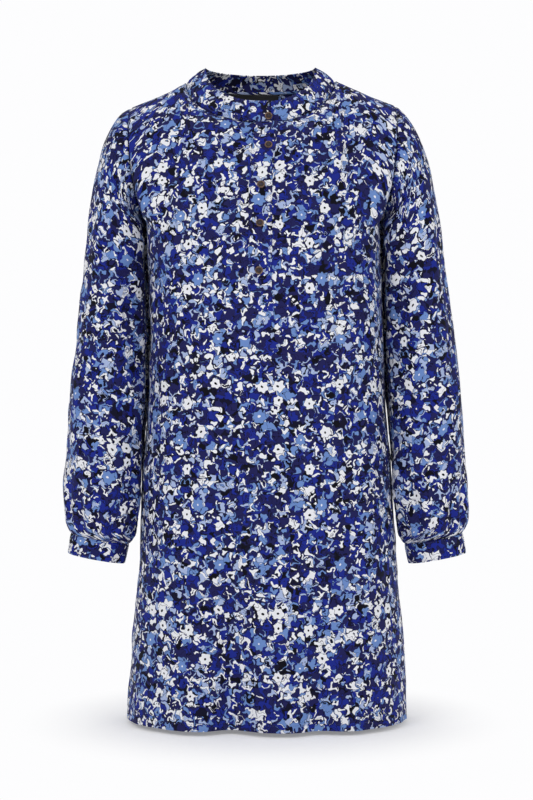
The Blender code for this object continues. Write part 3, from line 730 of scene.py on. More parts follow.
def laid_out(points):
    """Each point's place on the cloth: the way along its row and up its column."""
    return np.stack((run(points, 1), run(points, 0)), axis=-1)


def linear(colour):
    """An sRGB hex colour as linear red, green, blue and alpha."""
    channels = np.array([int(colour[i : i + 2], 16) for i in (1, 3, 5)]) / 255.0
    low, high = channels / 12.92, ((channels + 0.055) / 1.055) ** 2.4
    return (*np.where(channels <= 0.04045, low, high).tolist(), 1.0)


# Kinds of node that come often
MATH = "ShaderNodeMath"
VECTOR = "ShaderNodeVectorMath"
SPLIT = "ShaderNodeSeparateXYZ"
NOISE = "ShaderNodeTexNoise"
WAVE = "ShaderNodeTexWave"
RAMP = "ShaderNodeValToRGB"
MAP_RANGE = "ShaderNodeMapRange"
BUMP = "ShaderNodeBump"
PRINCIPLED = "ShaderNodeBsdfPrincipled"
# Length of one band of the wave texture at scale 1
BAND = 0.31416


def add_node(tree, kind, inputs=None, **settings):
    """Adds one node. Inputs are values, other nodes' outputs, or nodes, which stand for their first
    output. Settings are the node's own properties."""
    node = tree.nodes.new(kind)
    for name, value in settings.items():
        setattr(node, name, value)
    for name, value in (inputs or {}).items():
        if isinstance(value, bpy.types.Node):
            value = value.outputs[0]
        if isinstance(value, bpy.types.NodeSocket):
            tree.links.new(value, node.inputs[name])
        else:
            node.inputs[name].default_value = value
    return node


def fill_ramp(ramp, stops, interpolation="CONSTANT"):
    """Gives a Color Ramp its stops, each a place from 0 to 1 and an sRGB hex colour."""
    ramp.color_ramp.interpolation = interpolation
    elements = ramp.color_ramp.elements
    while len(elements) > 1:
        elements.remove(elements[-1])
    elements[0].position = stops[0][0]
    elements[0].color = linear(stops[0][1])
    for place, colour in stops[1:]:
        elements.new(place).color = linear(colour)
    return ramp


# The print's inks
NAVY = "#1f2056"
ROYAL = "#1c2a8c"
LIGHT_BLUE = "#6d8dc9"
PALE_BLUE = "#a9b9de"
OFF_WHITE = "#eeeff4"
INK_BLACK = "#070714"
MIDNIGHT = "#0e0e28"

# Layers of motifs, from the ground up. Cell in mm, radius in mm, petals, petal depth, share left out,
# dark rim in mm, then the inks: where each starts between 0 and 1, and its colour.
MOTIFS = (
    (
        (14.8, 7.6, 4, 0.16, 0.05, 0.0),
        ((0.0, NAVY), (0.34, ROYAL), (0.58, LIGHT_BLUE), (0.72, MIDNIGHT), (0.91, PALE_BLUE)),
    ),
    (
        (14.4, 6.6, 3, 0.20, 0.10, 0.45),
        ((0.0, ROYAL), (0.25, NAVY), (0.50, LIGHT_BLUE), (0.68, PALE_BLUE), (0.80, MIDNIGHT)),
    ),
    (
        (13.2, 5.6, 4, 0.22, 0.14, 0.55),
        ((0.0, OFF_WHITE), (0.20, NAVY), (0.44, ROYAL), (0.60, LIGHT_BLUE), (0.78, PALE_BLUE))
        + ((0.90, INK_BLACK),),
    ),
    (
        (11.4, 4.5, 3, 0.24, 0.20, 0.55),
        ((0.0, OFF_WHITE), (0.26, NAVY), (0.52, PALE_BLUE), (0.66, ROYAL), (0.84, INK_BLACK)),
    ),
    (
        (9.4, 3.3, 2, 0.26, 0.36, 0.5),
        ((0.0, OFF_WHITE), (0.34, NAVY), (0.58, LIGHT_BLUE), (0.74, PALE_BLUE), (0.84, ROYAL)),
    ),
    (
        (7.4, 1.6, 2, 0.22, 0.60, 0.35),
        ((0.0, OFF_WHITE), (0.50, MIDNIGHT), (0.80, PALE_BLUE)),
    ),
)
# How far the motifs stray from their cells' middles, as a share, and how much smaller they can be
MOTIF_RANDOMNESS = 0.85
MOTIF_SHRINK = 0.40
# The flowers repeat each 160 mm across and 290 mm down
REPEAT = (160.0, 290.0)
# Open flowers. Cells across and down, shift, radius, petals, share of the cells, petal ink, heart ink,
# heart radius, height of their densest row as a share of the repeat
FLOWERS = (
    ((6, 11, 0.35), 8.2, 7, 0.045, LIGHT_BLUE, OFF_WHITE, 1.3, 0.55),
    ((8, 14, 0.15), 7.2, 6, 0.07, OFF_WHITE, INK_BLACK, 1.45, 0.50),
)
FLOWER_STRAY = 0.34
FLOWER_SHRINK = 0.25
FLOWER_STRETCH = 0.25
FLOWER_DEPTH = 0.13
FLOWER_RIM = 0.4
# How much denser their densest row is than the mean
ROW_DENSITY = 0.60
# The brush: how far, in mm, the outlines of the motifs and of the flowers wander
BRUSH = 14.5
FLOWER_BRUSH = 4.0


def scatter(tree, place, across, down, shift, seed):
    """One motif to a cell: the repeat is divided into across x down cells, whose random numbers wrap
    round with the repeat. Gives the way from the motif's middle in mm, two random numbers, and the
    cell's own."""
    size = (REPEAT[0] / across, REPEAT[1] / down, 0.0)
    start = shift + 200.0
    cells = {0: place, 1: (1.0 / size[0], 1.0 / size[1], 0.0), 2: (start, start, 0.0)}
    scaled = add_node(tree, VECTOR, cells, operation="MULTIPLY_ADD")
    cell = add_node(tree, VECTOR, {0: scaled}, operation="FLOOR")
    wraps = {0: cell, 1: (across, down, 1.0), 2: (0.0, 0.0, 0.0)}
    wrapped = add_node(tree, VECTOR, wraps, operation="WRAP")
    chances = []
    for turn in (0.0, 0.5):
        at = add_node(tree, VECTOR, {0: wrapped, 1: (0.0, 0.0, seed + turn)}, operation="ADD")
        chance = add_node(tree, "ShaderNodeTexWhiteNoise", {"Vector": at}, noise_dimensions="3D")
        chances.append(chance)
    place_chance, size_chance = (chance.outputs["Color"] for chance in chances)
    inside = add_node(tree, VECTOR, {0: scaled}, operation="FRACTION")
    stray = {0: place_chance, 1: (-FLOWER_STRAY, -FLOWER_STRAY, 0.0), 2: inside}
    moved = add_node(tree, VECTOR, stray, operation="MULTIPLY_ADD")
    centred = add_node(tree, VECTOR, {0: moved, 1: (0.33, 0.33, 0.0)}, operation="SUBTRACT")
    away = add_node(tree, VECTOR, {0: centred, 1: size}, operation="MULTIPLY")
    least = 1.0 - FLOWER_STRETCH / 2
    stretch = {0: size_chance, 1: (FLOWER_STRETCH, FLOWER_STRETCH, 0.0), 2: (least, least, 0.0)}
    drawn = add_node(tree, VECTOR, stretch, operation="MULTIPLY_ADD")
    away = add_node(tree, VECTOR, {0: away, 1: drawn}, operation="MULTIPLY")
    turn = add_node(tree, "ShaderNodeSeparateColor", {0: place_chance})
    return away, turn.outputs["Blue"], chances[0].outputs["Value"], wrapped


def petal_edge(tree, away, chance, radius, petals, depth, shrink):
    """How far inside a motif's edge a point lies: size * radius * (1 + depth * cos(petals * angle
    + a random turn)) less the distance from the middle. The size is random, 1 - shrink to 1."""
    length = add_node(tree, VECTOR, {0: away}, operation="LENGTH").outputs["Value"]
    split = add_node(tree, SPLIT, {0: away})
    angle = add_node(tree, MATH, {0: split.outputs["Y"], 1: split.outputs["X"]}, operation="ARCTAN2")
    turn = add_node(tree, MATH, {0: chance, 1: 40.0}, operation="MULTIPLY")
    wave = add_node(tree, MATH, {0: angle, 1: petals, 2: turn}, operation="MULTIPLY_ADD")
    lobe = add_node(tree, MATH, {0: wave}, operation="COSINE")
    edge = add_node(tree, MATH, {0: lobe, 1: radius * depth, 2: radius}, operation="MULTIPLY_ADD")
    size = add_node(tree, MATH, {0: chance, 1: shrink, 2: 1.0 - shrink}, operation="MULTIPLY_ADD")
    reach = add_node(tree, MATH, {0: edge, 1: size}, operation="MULTIPLY")
    return add_node(tree, MATH, {0: reach, 1: length}, operation="SUBTRACT"), length


def painted(tree, under, ink, inside, least, kept):
    """The colour `under`, with ink where `inside` is over `least` and the cell's motif is kept."""
    shown = add_node(tree, MATH, {0: inside, 1: least}, operation="GREATER_THAN")
    mask = add_node(tree, MATH, {0: shown, 1: kept}, operation="MULTIPLY")
    over = add_node(tree, "ShaderNodeMix", {"Factor": mask, 6: under, 7: ink}, data_type="RGBA")
    return over.outputs[2]


def motif_layer(tree, place, seed, under, shape, inks):
    """One layer of the print over the colour `under`: a motif in each cell of a jittered grid."""
    cell, radius, petals, depth, left_out, rim = shape
    shifted = add_node(tree, VECTOR, {0: place, 1: (seed * 31.7, seed * 17.3, 0.0)}, operation="ADD")
    grid = {"Vector": shifted, "Scale": 1.0 / cell, "Randomness": MOTIF_RANDOMNESS}
    cells = add_node(tree, "ShaderNodeTexVoronoi", grid, voronoi_dimensions="2D", feature="F1")
    away = add_node(tree, VECTOR, {0: shifted, 1: cells.outputs["Position"]}, operation="SUBTRACT")
    chance = add_node(tree, "ShaderNodeSeparateColor", {0: cells.outputs["Color"]})
    inside, _ = petal_edge(tree, away, chance.outputs["Blue"], radius, petals, depth, MOTIF_SHRINK)
    kept = add_node(tree, MATH, {0: chance.outputs["Red"], 1: left_out}, operation="GREATER_THAN")
    ink = fill_ramp(add_node(tree, RAMP, {0: chance.outputs["Green"]}), inks)
    if rim:
        under = painted(tree, under, linear(MIDNIGHT), inside, -rim, kept)
    return painted(tree, under, ink, inside, 0.0, kept)


def flower_layer(tree, place, seed, under, cells, radius, petals, share, ink, heart_ink, heart, row):
    """Open flowers with a round heart over the colour `under`, densest along one row of the repeat."""
    away, turn, choice, cell = scatter(tree, place, *cells, seed)
    inside, length = petal_edge(tree, away, turn, radius, petals, FLOWER_DEPTH, FLOWER_SHRINK)
    at = add_node(tree, SPLIT, {0: cell})
    rows = {0: at.outputs["Y"], 1: 2 * np.pi / cells[1], 2: -2 * np.pi * row}
    phase = add_node(tree, MATH, rows, operation="MULTIPLY_ADD")
    dense = add_node(tree, MATH, {0: phase}, operation="COSINE")
    share = {0: dense, 1: share * ROW_DENSITY, 2: share}
    wanted = add_node(tree, MATH, share, operation="MULTIPLY_ADD")
    kept = add_node(tree, MATH, {0: choice, 1: wanted}, operation="LESS_THAN")
    colour = painted(tree, under, linear(MIDNIGHT), inside, -FLOWER_RIM, kept)
    colour = painted(tree, colour, linear(ink), inside, 0.0, kept)
    near = add_node(tree, MATH, {0: length, 1: -1.0}, operation="MULTIPLY")
    return painted(tree, colour, linear(heart_ink), near, -heart, kept)


def print_group():
    """The ditsy print as a node group: metres on the cloth in, ink colour out."""
    tree = bpy.data.node_groups.new("ditsy print", "ShaderNodeTree")
    tree.interface.new_socket("Place", in_out="INPUT", socket_type="NodeSocketVector")
    tree.interface.new_socket("Ink", in_out="OUTPUT", socket_type="NodeSocketColor")
    start = add_node(tree, "NodeGroupInput")
    place = add_node(tree, VECTOR, {0: start.outputs["Place"], "Scale": 1000.0}, operation="SCALE")
    # brush-drawn edges: the outlines wander a few millimetres to each side
    brush = {"Vector": place, "Scale": 0.11, "Detail": 1.0, "Roughness": 0.40}
    wobble = add_node(tree, NOISE, brush, noise_dimensions="2D")
    halves = {0: wobble.outputs["Color"], 1: (0.5, 0.5, 0.5)}
    centred = add_node(tree, VECTOR, halves, operation="SUBTRACT")
    wander = {0: centred, 1: (BRUSH, BRUSH, 0.0), 2: place}
    drawn = add_node(tree, VECTOR, wander, operation="MULTIPLY_ADD")
    patches = {"Vector": drawn, "Scale": 0.13, "Detail": 2.0}
    ground = add_node(tree, NOISE, patches, noise_dimensions="2D")
    inks = add_node(tree, RAMP, {0: ground.outputs["Fac"]})
    colour = fill_ramp(inks, ((0.0, NAVY), (0.47, ROYAL), (0.58, MIDNIGHT)))
    for seed, motif in enumerate(MOTIFS):
        colour = motif_layer(tree, drawn, seed + 1.0, colour, *motif)
    wander = {0: centred, 1: (FLOWER_BRUSH, FLOWER_BRUSH, 0.0), 2: place}
    calm = add_node(tree, VECTOR, wander, operation="MULTIPLY_ADD")
    for seed, flower in enumerate(FLOWERS):
        colour = flower_layer(tree, calm, seed + 41.0, colour, *flower)
    end = add_node(tree, "NodeGroupOutput")
    tree.links.new(colour, end.inputs["Ink"])
    return tree


def weave_bump(tree, place, pitch, strength):
    """Plain weave as bump: warp and weft threads as two crossing waves, `pitch` metres apart.
    The real threads are 0.2 mm apart, too fine to show, so they're drawn coarser."""
    bands = {"Vector": place, "Scale": BAND / pitch, "Distortion": 0.4, "Detail": 1.0}
    warp, weft = (add_node(tree, WAVE, bands, wave_type="BANDS", bands_direction=way) for way in "XY")
    threads = add_node(tree, MATH, {0: warp.outputs["Fac"], 1: weft.outputs["Fac"]}, operation="ADD")
    return add_node(tree, BUMP, {"Strength": strength, "Distance": pitch * 0.25, "Height": threads})


def empty_material(name):
    material = bpy.data.materials.new(name)
    material.use_nodes = True
    material.node_tree.nodes.clear()
    return material, material.node_tree


def finished(material, shader):
    add_node(material.node_tree, "ShaderNodeOutputMaterial", {"Surface": shader})
    return material


def printed_viscose():
    """Printed viscose crepe: a matt, soft plain weave that drapes. To the eye it is matt ink colours
    with a faint silky sheen at the folds, and its thread is never quite even."""
    material, tree = empty_material("printed viscose crepe")
    group = print_group()
    place = add_node(tree, "ShaderNodeUVMap", uv_map="cloth")
    ink = add_node(tree, "ShaderNodeGroup", {"Place": place}, node_tree=group)
    slubs = {"Vector": place, "Scale": 900.0, "Detail": 2.0}
    uneven = add_node(tree, NOISE, slubs, noise_dimensions="2D").outputs["Fac"]
    soft = add_node(tree, MAP_RANGE, {"Value": uneven, "To Min": 0.90, "To Max": 1.08})
    thread_colour = add_node(tree, VECTOR, {0: ink, "Scale": soft}, operation="SCALE")
    rough = add_node(tree, MAP_RANGE, {"Value": uneven, "To Min": 0.62, "To Max": 0.82})
    bump = weave_bump(tree, place, 0.0006, 0.35)
    looks = {
        "Base Color": thread_colour,
        "Roughness": rough,
        "Normal": bump,
        "Specular IOR Level": 0.12,
        "Sheen Weight": 0.03,
        "Sheen Roughness": 0.45,
    }
    return finished(material, add_node(tree, PRINCIPLED, looks))


def sewing_thread():
    """Spun polyester thread, twisted: a soft gleam along each stitch."""
    material, tree = empty_material("spun polyester thread")
    place = add_node(tree, "ShaderNodeTexCoord").outputs["Object"]
    twist = add_node(tree, NOISE, {"Vector": place, "Scale": 2500.0, "Detail": 1.0})
    colour = add_node(tree, RAMP, {0: twist.outputs["Fac"]})
    fill_ramp(colour, ((0.3, "#1d2356"), (0.7, "#2f3a7c")), "LINEAR")
    return finished(material, add_node(tree, PRINCIPLED, {"Base Color": colour, "Roughness": 0.5}))


def turned_horn():
    """Turned and polished horn: warm brown with cloudy streaks, with painted shade in the dish that is
    darkest at the step to the rim, and a painted highlight that makes the rim pale."""
    material, tree = empty_material("turned polished horn")
    place = add_node(tree, "ShaderNodeTexCoord").outputs["Object"]
    stretched = add_node(tree, "ShaderNodeMapping", {"Vector": place, "Scale": (1.0, 1.0, 0.35)})
    streaks = {"Vector": stretched, "Scale": 420.0, "Detail": 4.0, "Roughness": 0.6, "Distortion": 1.2}
    cloud = add_node(tree, NOISE, streaks)
    colour = add_node(tree, RAMP, {0: cloud.outputs["Fac"]})
    fill_ramp(colour, ((0.32, "#3a281f"), (0.50, "#6a4f3f"), (0.68, "#9c8068")), "LINEAR")
    round_it = add_node(tree, "ShaderNodeUVMap", uv_map="cloth")
    from_middle = add_node(tree, SPLIT, {0: round_it})
    # painted light by the distance from the middle: shade in the dish, darkest at the step to the rim,
    # then a highlight on the rim
    ring = add_node(tree, RAMP, {0: from_middle.outputs["X"]})
    dish = ((0.0, "#808080"), (0.50, "#686868"), (0.66, "#484848"))
    fill_ramp(ring, dish + ((0.80, "#f0f0f0"), (0.93, "#a0a0a0")), "LINEAR")
    shaded = add_node(tree, VECTOR, {0: colour, 1: ring}, operation="MULTIPLY")
    horn_with_painted_light = add_node(tree, VECTOR, {0: shaded, "Scale": 1.7}, operation="SCALE")
    grain = add_node(tree, NOISE, {"Vector": place, "Scale": 3000.0, "Detail": 2.0})
    bump = add_node(tree, BUMP, {"Strength": 0.15, "Distance": 0.0001, "Height": grain.outputs["Fac"]})
    looks = {"Base Color": horn_with_painted_light, "Roughness": 0.34, "Normal": bump}
    return finished(material, add_node(tree, PRINCIPLED, looks))


def woven_tape():
    """Black woven polyester tape, a close satin weave: nearly black, with ribs that catch light."""
    material, tree = empty_material("black woven tape")
    place = add_node(tree, "ShaderNodeUVMap", uv_map="cloth")
    bands = {"Vector": place, "Scale": BAND / 0.0005, "Distortion": 0.6, "Detail": 1.0}
    ribs = add_node(tree, WAVE, bands, wave_type="BANDS", bands_direction="Y").outputs["Fac"]
    colour = add_node(tree, RAMP, {0: ribs})
    fill_ramp(colour, ((0.1, "#08090c"), (0.9, "#191a20")), "LINEAR")
    bump = add_node(tree, BUMP, {"Strength": 0.5, "Distance": 0.0002, "Height": ribs})
    looks = {"Base Color": colour, "Roughness": 0.5, "Normal": bump}
    return finished(material, add_node(tree, PRINCIPLED, looks))


def studio_floor():
    """Painted studio floor: pale, matt, and lost in white away from the dress."""
    material, tree = empty_material("pale studio floor")
    place = add_node(tree, "ShaderNodeTexCoord").outputs["Object"]
    distance = add_node(tree, VECTOR, {0: place}, operation="LENGTH").outputs["Value"]
    fade = {"Value": distance, "From Min": 0.15, "From Max": 0.34}
    far = add_node(tree, MAP_RANGE, fade, interpolation_type="SMOOTHSTEP")
    looks = {
        "Base Color": linear("#fafafb"),
        "Roughness": 0.9,
        "Specular IOR Level": 0.1,
        "Emission Color": linear("#fdfdfe"),
        "Emission Strength": 0.22,
    }
    paint = add_node(tree, PRINCIPLED, looks)
    white = add_node(tree, "ShaderNodeEmission", {"Color": linear("#fdfdfe"), "Strength": 1.0})
    return finished(material, add_node(tree, "ShaderNodeMixShader", {0: far, 1: paint, 2: white}))


def panel(front):
    """The front or back as it is seen: its points, its places on the cloth, and which quads are kept.
    Up to the chest row the grid's rows are 5 mm apart, and it has extra lines at its edges."""
    sides = edge_places(-1.0, 1.0, PANEL_COLUMNS, PANEL_HALF_GIRTH)
    rows = graded_rows(*PANEL_GRID)
    if front:
        inner = sides[np.abs(sides) > SLOT_SHARE * 1.15]
        base = np.sort(np.concatenate((inner, np.linspace(-SLOT_SHARE, SLOT_SHARE, 9))))
        points = panel_point(front_shares(base, rows), rows[:, None], True)
    else:
        base = sides[::-1]
        points = panel_point(base[None, :], rows[:, None], False)
    middle = int(np.argmin(np.abs(base)))
    across, up = run(points, 1, (0, 1)), run(points, 0, (1, 2))
    across = across - across[:, middle : middle + 1]
    edge, climb = run(points, 1), run(points, 0)
    side, top = np.minimum(edge, edge[:, -1:] - edge), climb[-1:] - climb
    creases = FRONT_CREASES if front else BACK_CREASES
    height = CREASE_GAIN * crease_height(points[..., 0], points[..., 2], creases)
    calm = smooth_step(np.minimum(side, top) / PANEL_CALM)
    height = (height + slackness(across, up, 0.3 if front else 2.1)) * calm
    height = height + seam_height(side, climb) + seam_height(top, edge)
    height = height + line_height(climb - HEM_STITCH, *HEM_LINE)
    # the hem ripples along its stitches, less and less above them
    ripple = np.sin(2 * np.pi * across / 0.052 + 2.0 * np.sin(across / 0.031))
    ripple = ripple + 0.6 * np.sin(2 * np.pi * across / 0.027 + 1.3)
    height = height + RIPPLE * ripple * np.exp(-climb / RIPPLE_FADE) * calm
    points = points + outward(points) * height[..., None]
    keep = None
    if front:
        beside = np.abs(base[:-1] + base[1:])[None, :] / 2 >= SLOT_SHARE
        keep = (rows[:-1, None] <= slot_row()) | beside
    return points, np.stack((across, up), axis=-1), keep


def slot_row():
    """The row at which the front's opening starts."""
    trial = np.linspace(0.4, 1.0, 241)
    heights = panel_point(np.zeros(trial.shape), trial, True)[:, 2]
    return np.interp(SLOT_BOTTOM_Z, heights, trial)


def plain_front():
    """The front's surface without its small relief, for the strips that lie on it."""
    rows = np.concatenate((np.linspace(0.75, 1.0, 60), 1.0 + np.linspace(0.0, 0.995, 60)[1:]))
    base = np.linspace(-0.16, 0.16, 33)
    return panel_point(front_shares(base, rows), rows[:, None], True)


def strip_of_front(half_width, depth, columns):
    """A strip of the front's surface over the opening, from the placket's bottom to the neck seam,
    moved out by depth. columns are shares of the half width."""
    lines = []
    for line in plain_front():
        if np.interp(0.0, line[:, 0], line[:, 2]) > PLACKET_BOTTOM_Z:
            lines.append(along_line(opening_middle(line) + columns * half_width, line[:, 0], line))
    strip = np.array(lines)
    return strip + outward(strip) * depth


def sleeve_cloth(side):
    """The +X or -X sleeve as it is seen, with its creases, gathers and sewn edges."""
    turn = np.linspace(0.0, 2 * np.pi, SLEEVE_COLUMNS, endpoint=False)
    rows = graded_rows(*SLEEVE_GRID)[:, None]
    points = sleeve_point(turn[None, :], rows)
    below = run(points, 0)
    calm = smooth_step((below[-1:] - below) / SLEEVE_CALM)
    leans, heights = np.array(LEAN), points[..., 2].copy()
    for number, at in enumerate(LEAN_TURNS):
        lean = np.interp(heights, leans[:, 0], leans[:, 1 + 2 * number + (side < 0)])
        off = (turn - np.radians(at) + np.pi) % (2 * np.pi) - np.pi
        points[..., 0] -= calm * lean * bell(off, np.radians(LEAN_WIDTH))
    points = on_side(points, side, SLEEVE_SHIFT * (1.0 - smooth_step(rows - 1.0))[..., None])
    if side < 0:
        turn = turn[::-1]
    laid, z = (turn - np.pi)[None, :] * SLEEVE_RADIUS * np.ones_like(rows), points[..., 2]
    around = run(np.concatenate((points, points[:, :1]), axis=1), 1)
    seam = np.minimum(around, around[:, -1:] - around)[:, :-1]
    climb = run(points, 0)
    top = climb[-1:] - climb
    if side > 0:
        height = crease_height(laid, z, SLEEVE_CREASES)
    else:
        height = 0.95 * crease_height(laid * 0.96 + 0.004, z * 1.03 + 0.006, SLEEVE_CREASES)
        height = height * (1.0 + 0.2 * np.sin(23.0 * z))
    calm = smooth_step(np.minimum(top, climb) / SLEEVE_CALM)
    height = (height + slackness(laid, z, 1.2 if side > 0 else 3.4)) * calm
    near_cuff = np.clip(climb / FINE_PLEAT_REACH, 0.0, 1.0)
    swell = 0.35 + 0.65 * smooth_step(near_cuff / 0.2)
    swell = swell * (1.0 - smooth_step((near_cuff - 0.2) / 0.8))
    bent = FINE_PLEATS * turn + 1.3 * np.sin(3 * turn + side)
    pleat = np.cos(bent + 0.8 * np.sin(7 * turn))[None, :]
    height = height + FINE_PLEAT_HEIGHT * swell * (1.0 - np.abs(pleat) ** 1.5)
    ends = smooth_step(climb / 0.01) * smooth_step(top / 0.01)
    height = height + seam_height(seam, climb, SMALL_SEAM_DIP) * ends
    height = height + seam_height(top, around[:, :-1]) + line_height(climb, *GATHER_LINE)
    return points + outward(points, closed=True) * height[..., None]


def cuff_cloth(side):
    """A cuff as it is seen: a doubled band, rounded at its edge and drawn in at its seam."""
    turn = np.linspace(0.0, 2 * np.pi, CUFF_COLUMNS, endpoint=False)
    near = np.array(EDGE_STEPS) / CUFF_HEIGHT
    down = np.concatenate((1.0 - near, (0.5,), near[::-1]))[:, None]
    points = on_side(cuff_point(turn[None, :], down), side, SLEEVE_SHIFT)
    from_edge, from_seam = (1.0 - down) * CUFF_HEIGHT, down * CUFF_HEIGHT
    wave = 0.00035 * np.sin(9 * turn + side) + 0.00025 * np.sin(17 * turn + 1.0)
    height = 0.0003 + wave[None, :] * smooth_step(from_seam / 0.008)
    height = height + line_height(from_seam, *GATHER_LINE) + line_height(from_edge, *CUFF_EDGE_LINE)
    for away, stitch in zip((from_edge, from_seam), STITCH_PLACES):
        height = height + line_height(away - stitch, *CUFF_STITCH_LINE)
    return points + outward(points, closed=True) * height[..., None]


def collar_cloth():
    """The standing collar band as it is seen, from its under end round the back to its over end."""
    turn = np.radians(np.linspace(*COLLAR_ENDS, COLLAR_COLUMNS))
    reach = np.radians(COLLAR_LAP_TURN)
    under = smooth_step((np.radians(45.0) - turn) / reach)
    over = smooth_step((turn - np.radians(315.0)) / reach)
    low, high = neck_seam(turn), collar_edge(turn)
    along = edge_places(0.0, 1.0, 7, COLLAR_HEIGHT)[:, None, None]
    gap = 0.0008 / np.linalg.norm(high - low, axis=-1)
    band = mix(low[None], high[None], mix(gap[None, :, None], 1.0, along))
    outside = unit(np.stack((np.sin(turn), -np.cos(turn), np.full(turn.shape, 0.5)), axis=-1))
    lap = COLLAR_LAP * (over - under)
    band = band + outside[None] * (lap[None, :, None] + COLLAR_CROWN * np.sin(np.pi * along))
    along = along[..., 0]
    from_low, from_high = along * COLLAR_HEIGHT, (1.0 - along) * COLLAR_HEIGHT
    round_it = run(band, 1)
    wave = 0.0004 * np.sin(2 * np.pi * round_it / 0.047 + 1.1 * np.sin(round_it / 0.03))
    height = wave * np.sin(np.pi * along) + seam_height(from_low, round_it, SMALL_SEAM_DIP)
    height = height + line_height(from_high, *COLLAR_EDGE_LINE)
    for away, stitch in zip((from_high, from_low), STITCH_PLACES):
        height = height + line_height(away - stitch, *COLLAR_STITCH_LINE)
    return band + outward(band) * height[..., None]


def collar_allowance():
    """The neck seam's allowance, pressed up inside the collar band: it closes the seam from inside."""
    turn = np.radians(np.linspace(11.0, 349.0, 150))
    low, high = neck_seam(turn), collar_edge(turn)
    front = np.cos(turn) > 0
    size = np.where(front, turn, np.pi - turn)
    size = np.where(turn > 1.5 * np.pi, turn - 2 * np.pi, size) * NECK_SHARE / (np.pi / 2)
    below = np.where(front[:, None], panel_point(size, 1.98, True), panel_point(size, 1.98, False))
    away = np.array((-0.0006, -0.0002, 0.0004, 0.0012, 0.0020, 0.0028))[:, None, None]
    points = low + np.where(away < 0, unit(low - below)[None], unit(high - low)[None]) * away
    return points - outward(points) * (0.0013 + 0.0007 * bell(away, SEAM_REACH))


def neck_tape_cloth():
    """The neck tape: lines of the back's surface, level under the neck seam, laid inside it."""
    rows = 2.0 - np.linspace(0.20, 0.0, 60)
    fine = panel_point(np.linspace(0.5, -0.5, 121)[None, :], rows[:, None], False)
    drops = run(fine[::-1], 0)[::-1]
    columns = LABEL_X + np.linspace(1.0, -1.0, 40) * LABEL_HALF_WIDTH
    lines = []
    for drop in np.linspace(LABEL_HEIGHT, 0.0, 7) + LABEL_TOP:
        line = [along_line(-drop, -down, points) for down, points in zip(drops.T, fine.swapaxes(0, 1))]
        line = np.array(sorted(line, key=lambda point: point[0]))
        lines.append(along_line(columns, line[:, 0], line))
    points = np.array(lines)
    points = points - outward(points) * (WALL / 2 + 0.0005 + SEAM_GAP + 0.0002)
    wave = 0.00015 * np.sin(np.linspace(0.0, 9.0, len(columns)))
    return points - outward(points) * wave[None, :, None]


def disc_button(name, centre, normal, upright, material):
    """A turned button: a dished face inside a rounded rim, with four sunk holes, and a bowed back.
    Height over radius is a smooth profile, less a rounded well exp(-(away / hole)^4) at each hole."""
    face, under = np.linspace(0.0, 1.0, 34), np.linspace(0.97, 0.0, 7)
    dish = 0.0008 * (1.0 - smooth_step((face - 0.62) / 0.20))
    rim = BUTTON_THICKNESS - dish - 0.0012 * smooth_step((face - 0.88) / 0.12) ** 2
    back = 0.0004 * smooth_step((under - 0.4) / 0.6)
    radius = np.concatenate((face, under)) * BUTTON_RADIUS
    angle = np.linspace(0.0, 2 * np.pi, 60, endpoint=False)
    x, y = radius[:, None] * np.cos(angle), radius[:, None] * np.sin(angle)
    z = np.concatenate((rim, back))[:, None] * np.ones_like(x)
    on_face = (np.arange(len(radius)) < len(face))[:, None]
    for turned in np.radians((45.0, 135.0, 225.0, 315.0)):
        away = np.hypot(x - HOLE_PLACE * np.cos(turned), y - HOLE_PLACE * np.sin(turned))
        z = z - HOLE_DEPTH * np.exp(-((away / HOLE_RADIUS) ** 4)) * on_face
    out = unit(np.asarray(normal))
    across = unit(np.cross(np.asarray(upright), out))
    up = np.cross(out, across)
    points = np.asarray(centre) + x[..., None] * across + y[..., None] * up + z[..., None] * out
    numbers, rings, turns = grid_corners(len(radius), len(angle), True)
    uv = np.stack((radius[rings] / BUTTON_RADIUS, turns / len(angle)), axis=-1)[:, :, ::-1]
    return mesh_object(name, points, numbers.reshape(-1, 4)[:, ::-1], uv, material)


def surface_frame(points, x, z):
    """Normal and upward way of a grid where it is nearest to a sideways place and a height."""
    away = (points[..., 0] - x) ** 2 + (points[..., 2] - z) ** 2
    row, column = np.unravel_index(np.argmin(away), away.shape)
    low, high = max(row - 3, 0), min(row + 3, len(points) - 1)
    return unit(outward(points)[row, column]), unit(points[high, column] - points[low, column])


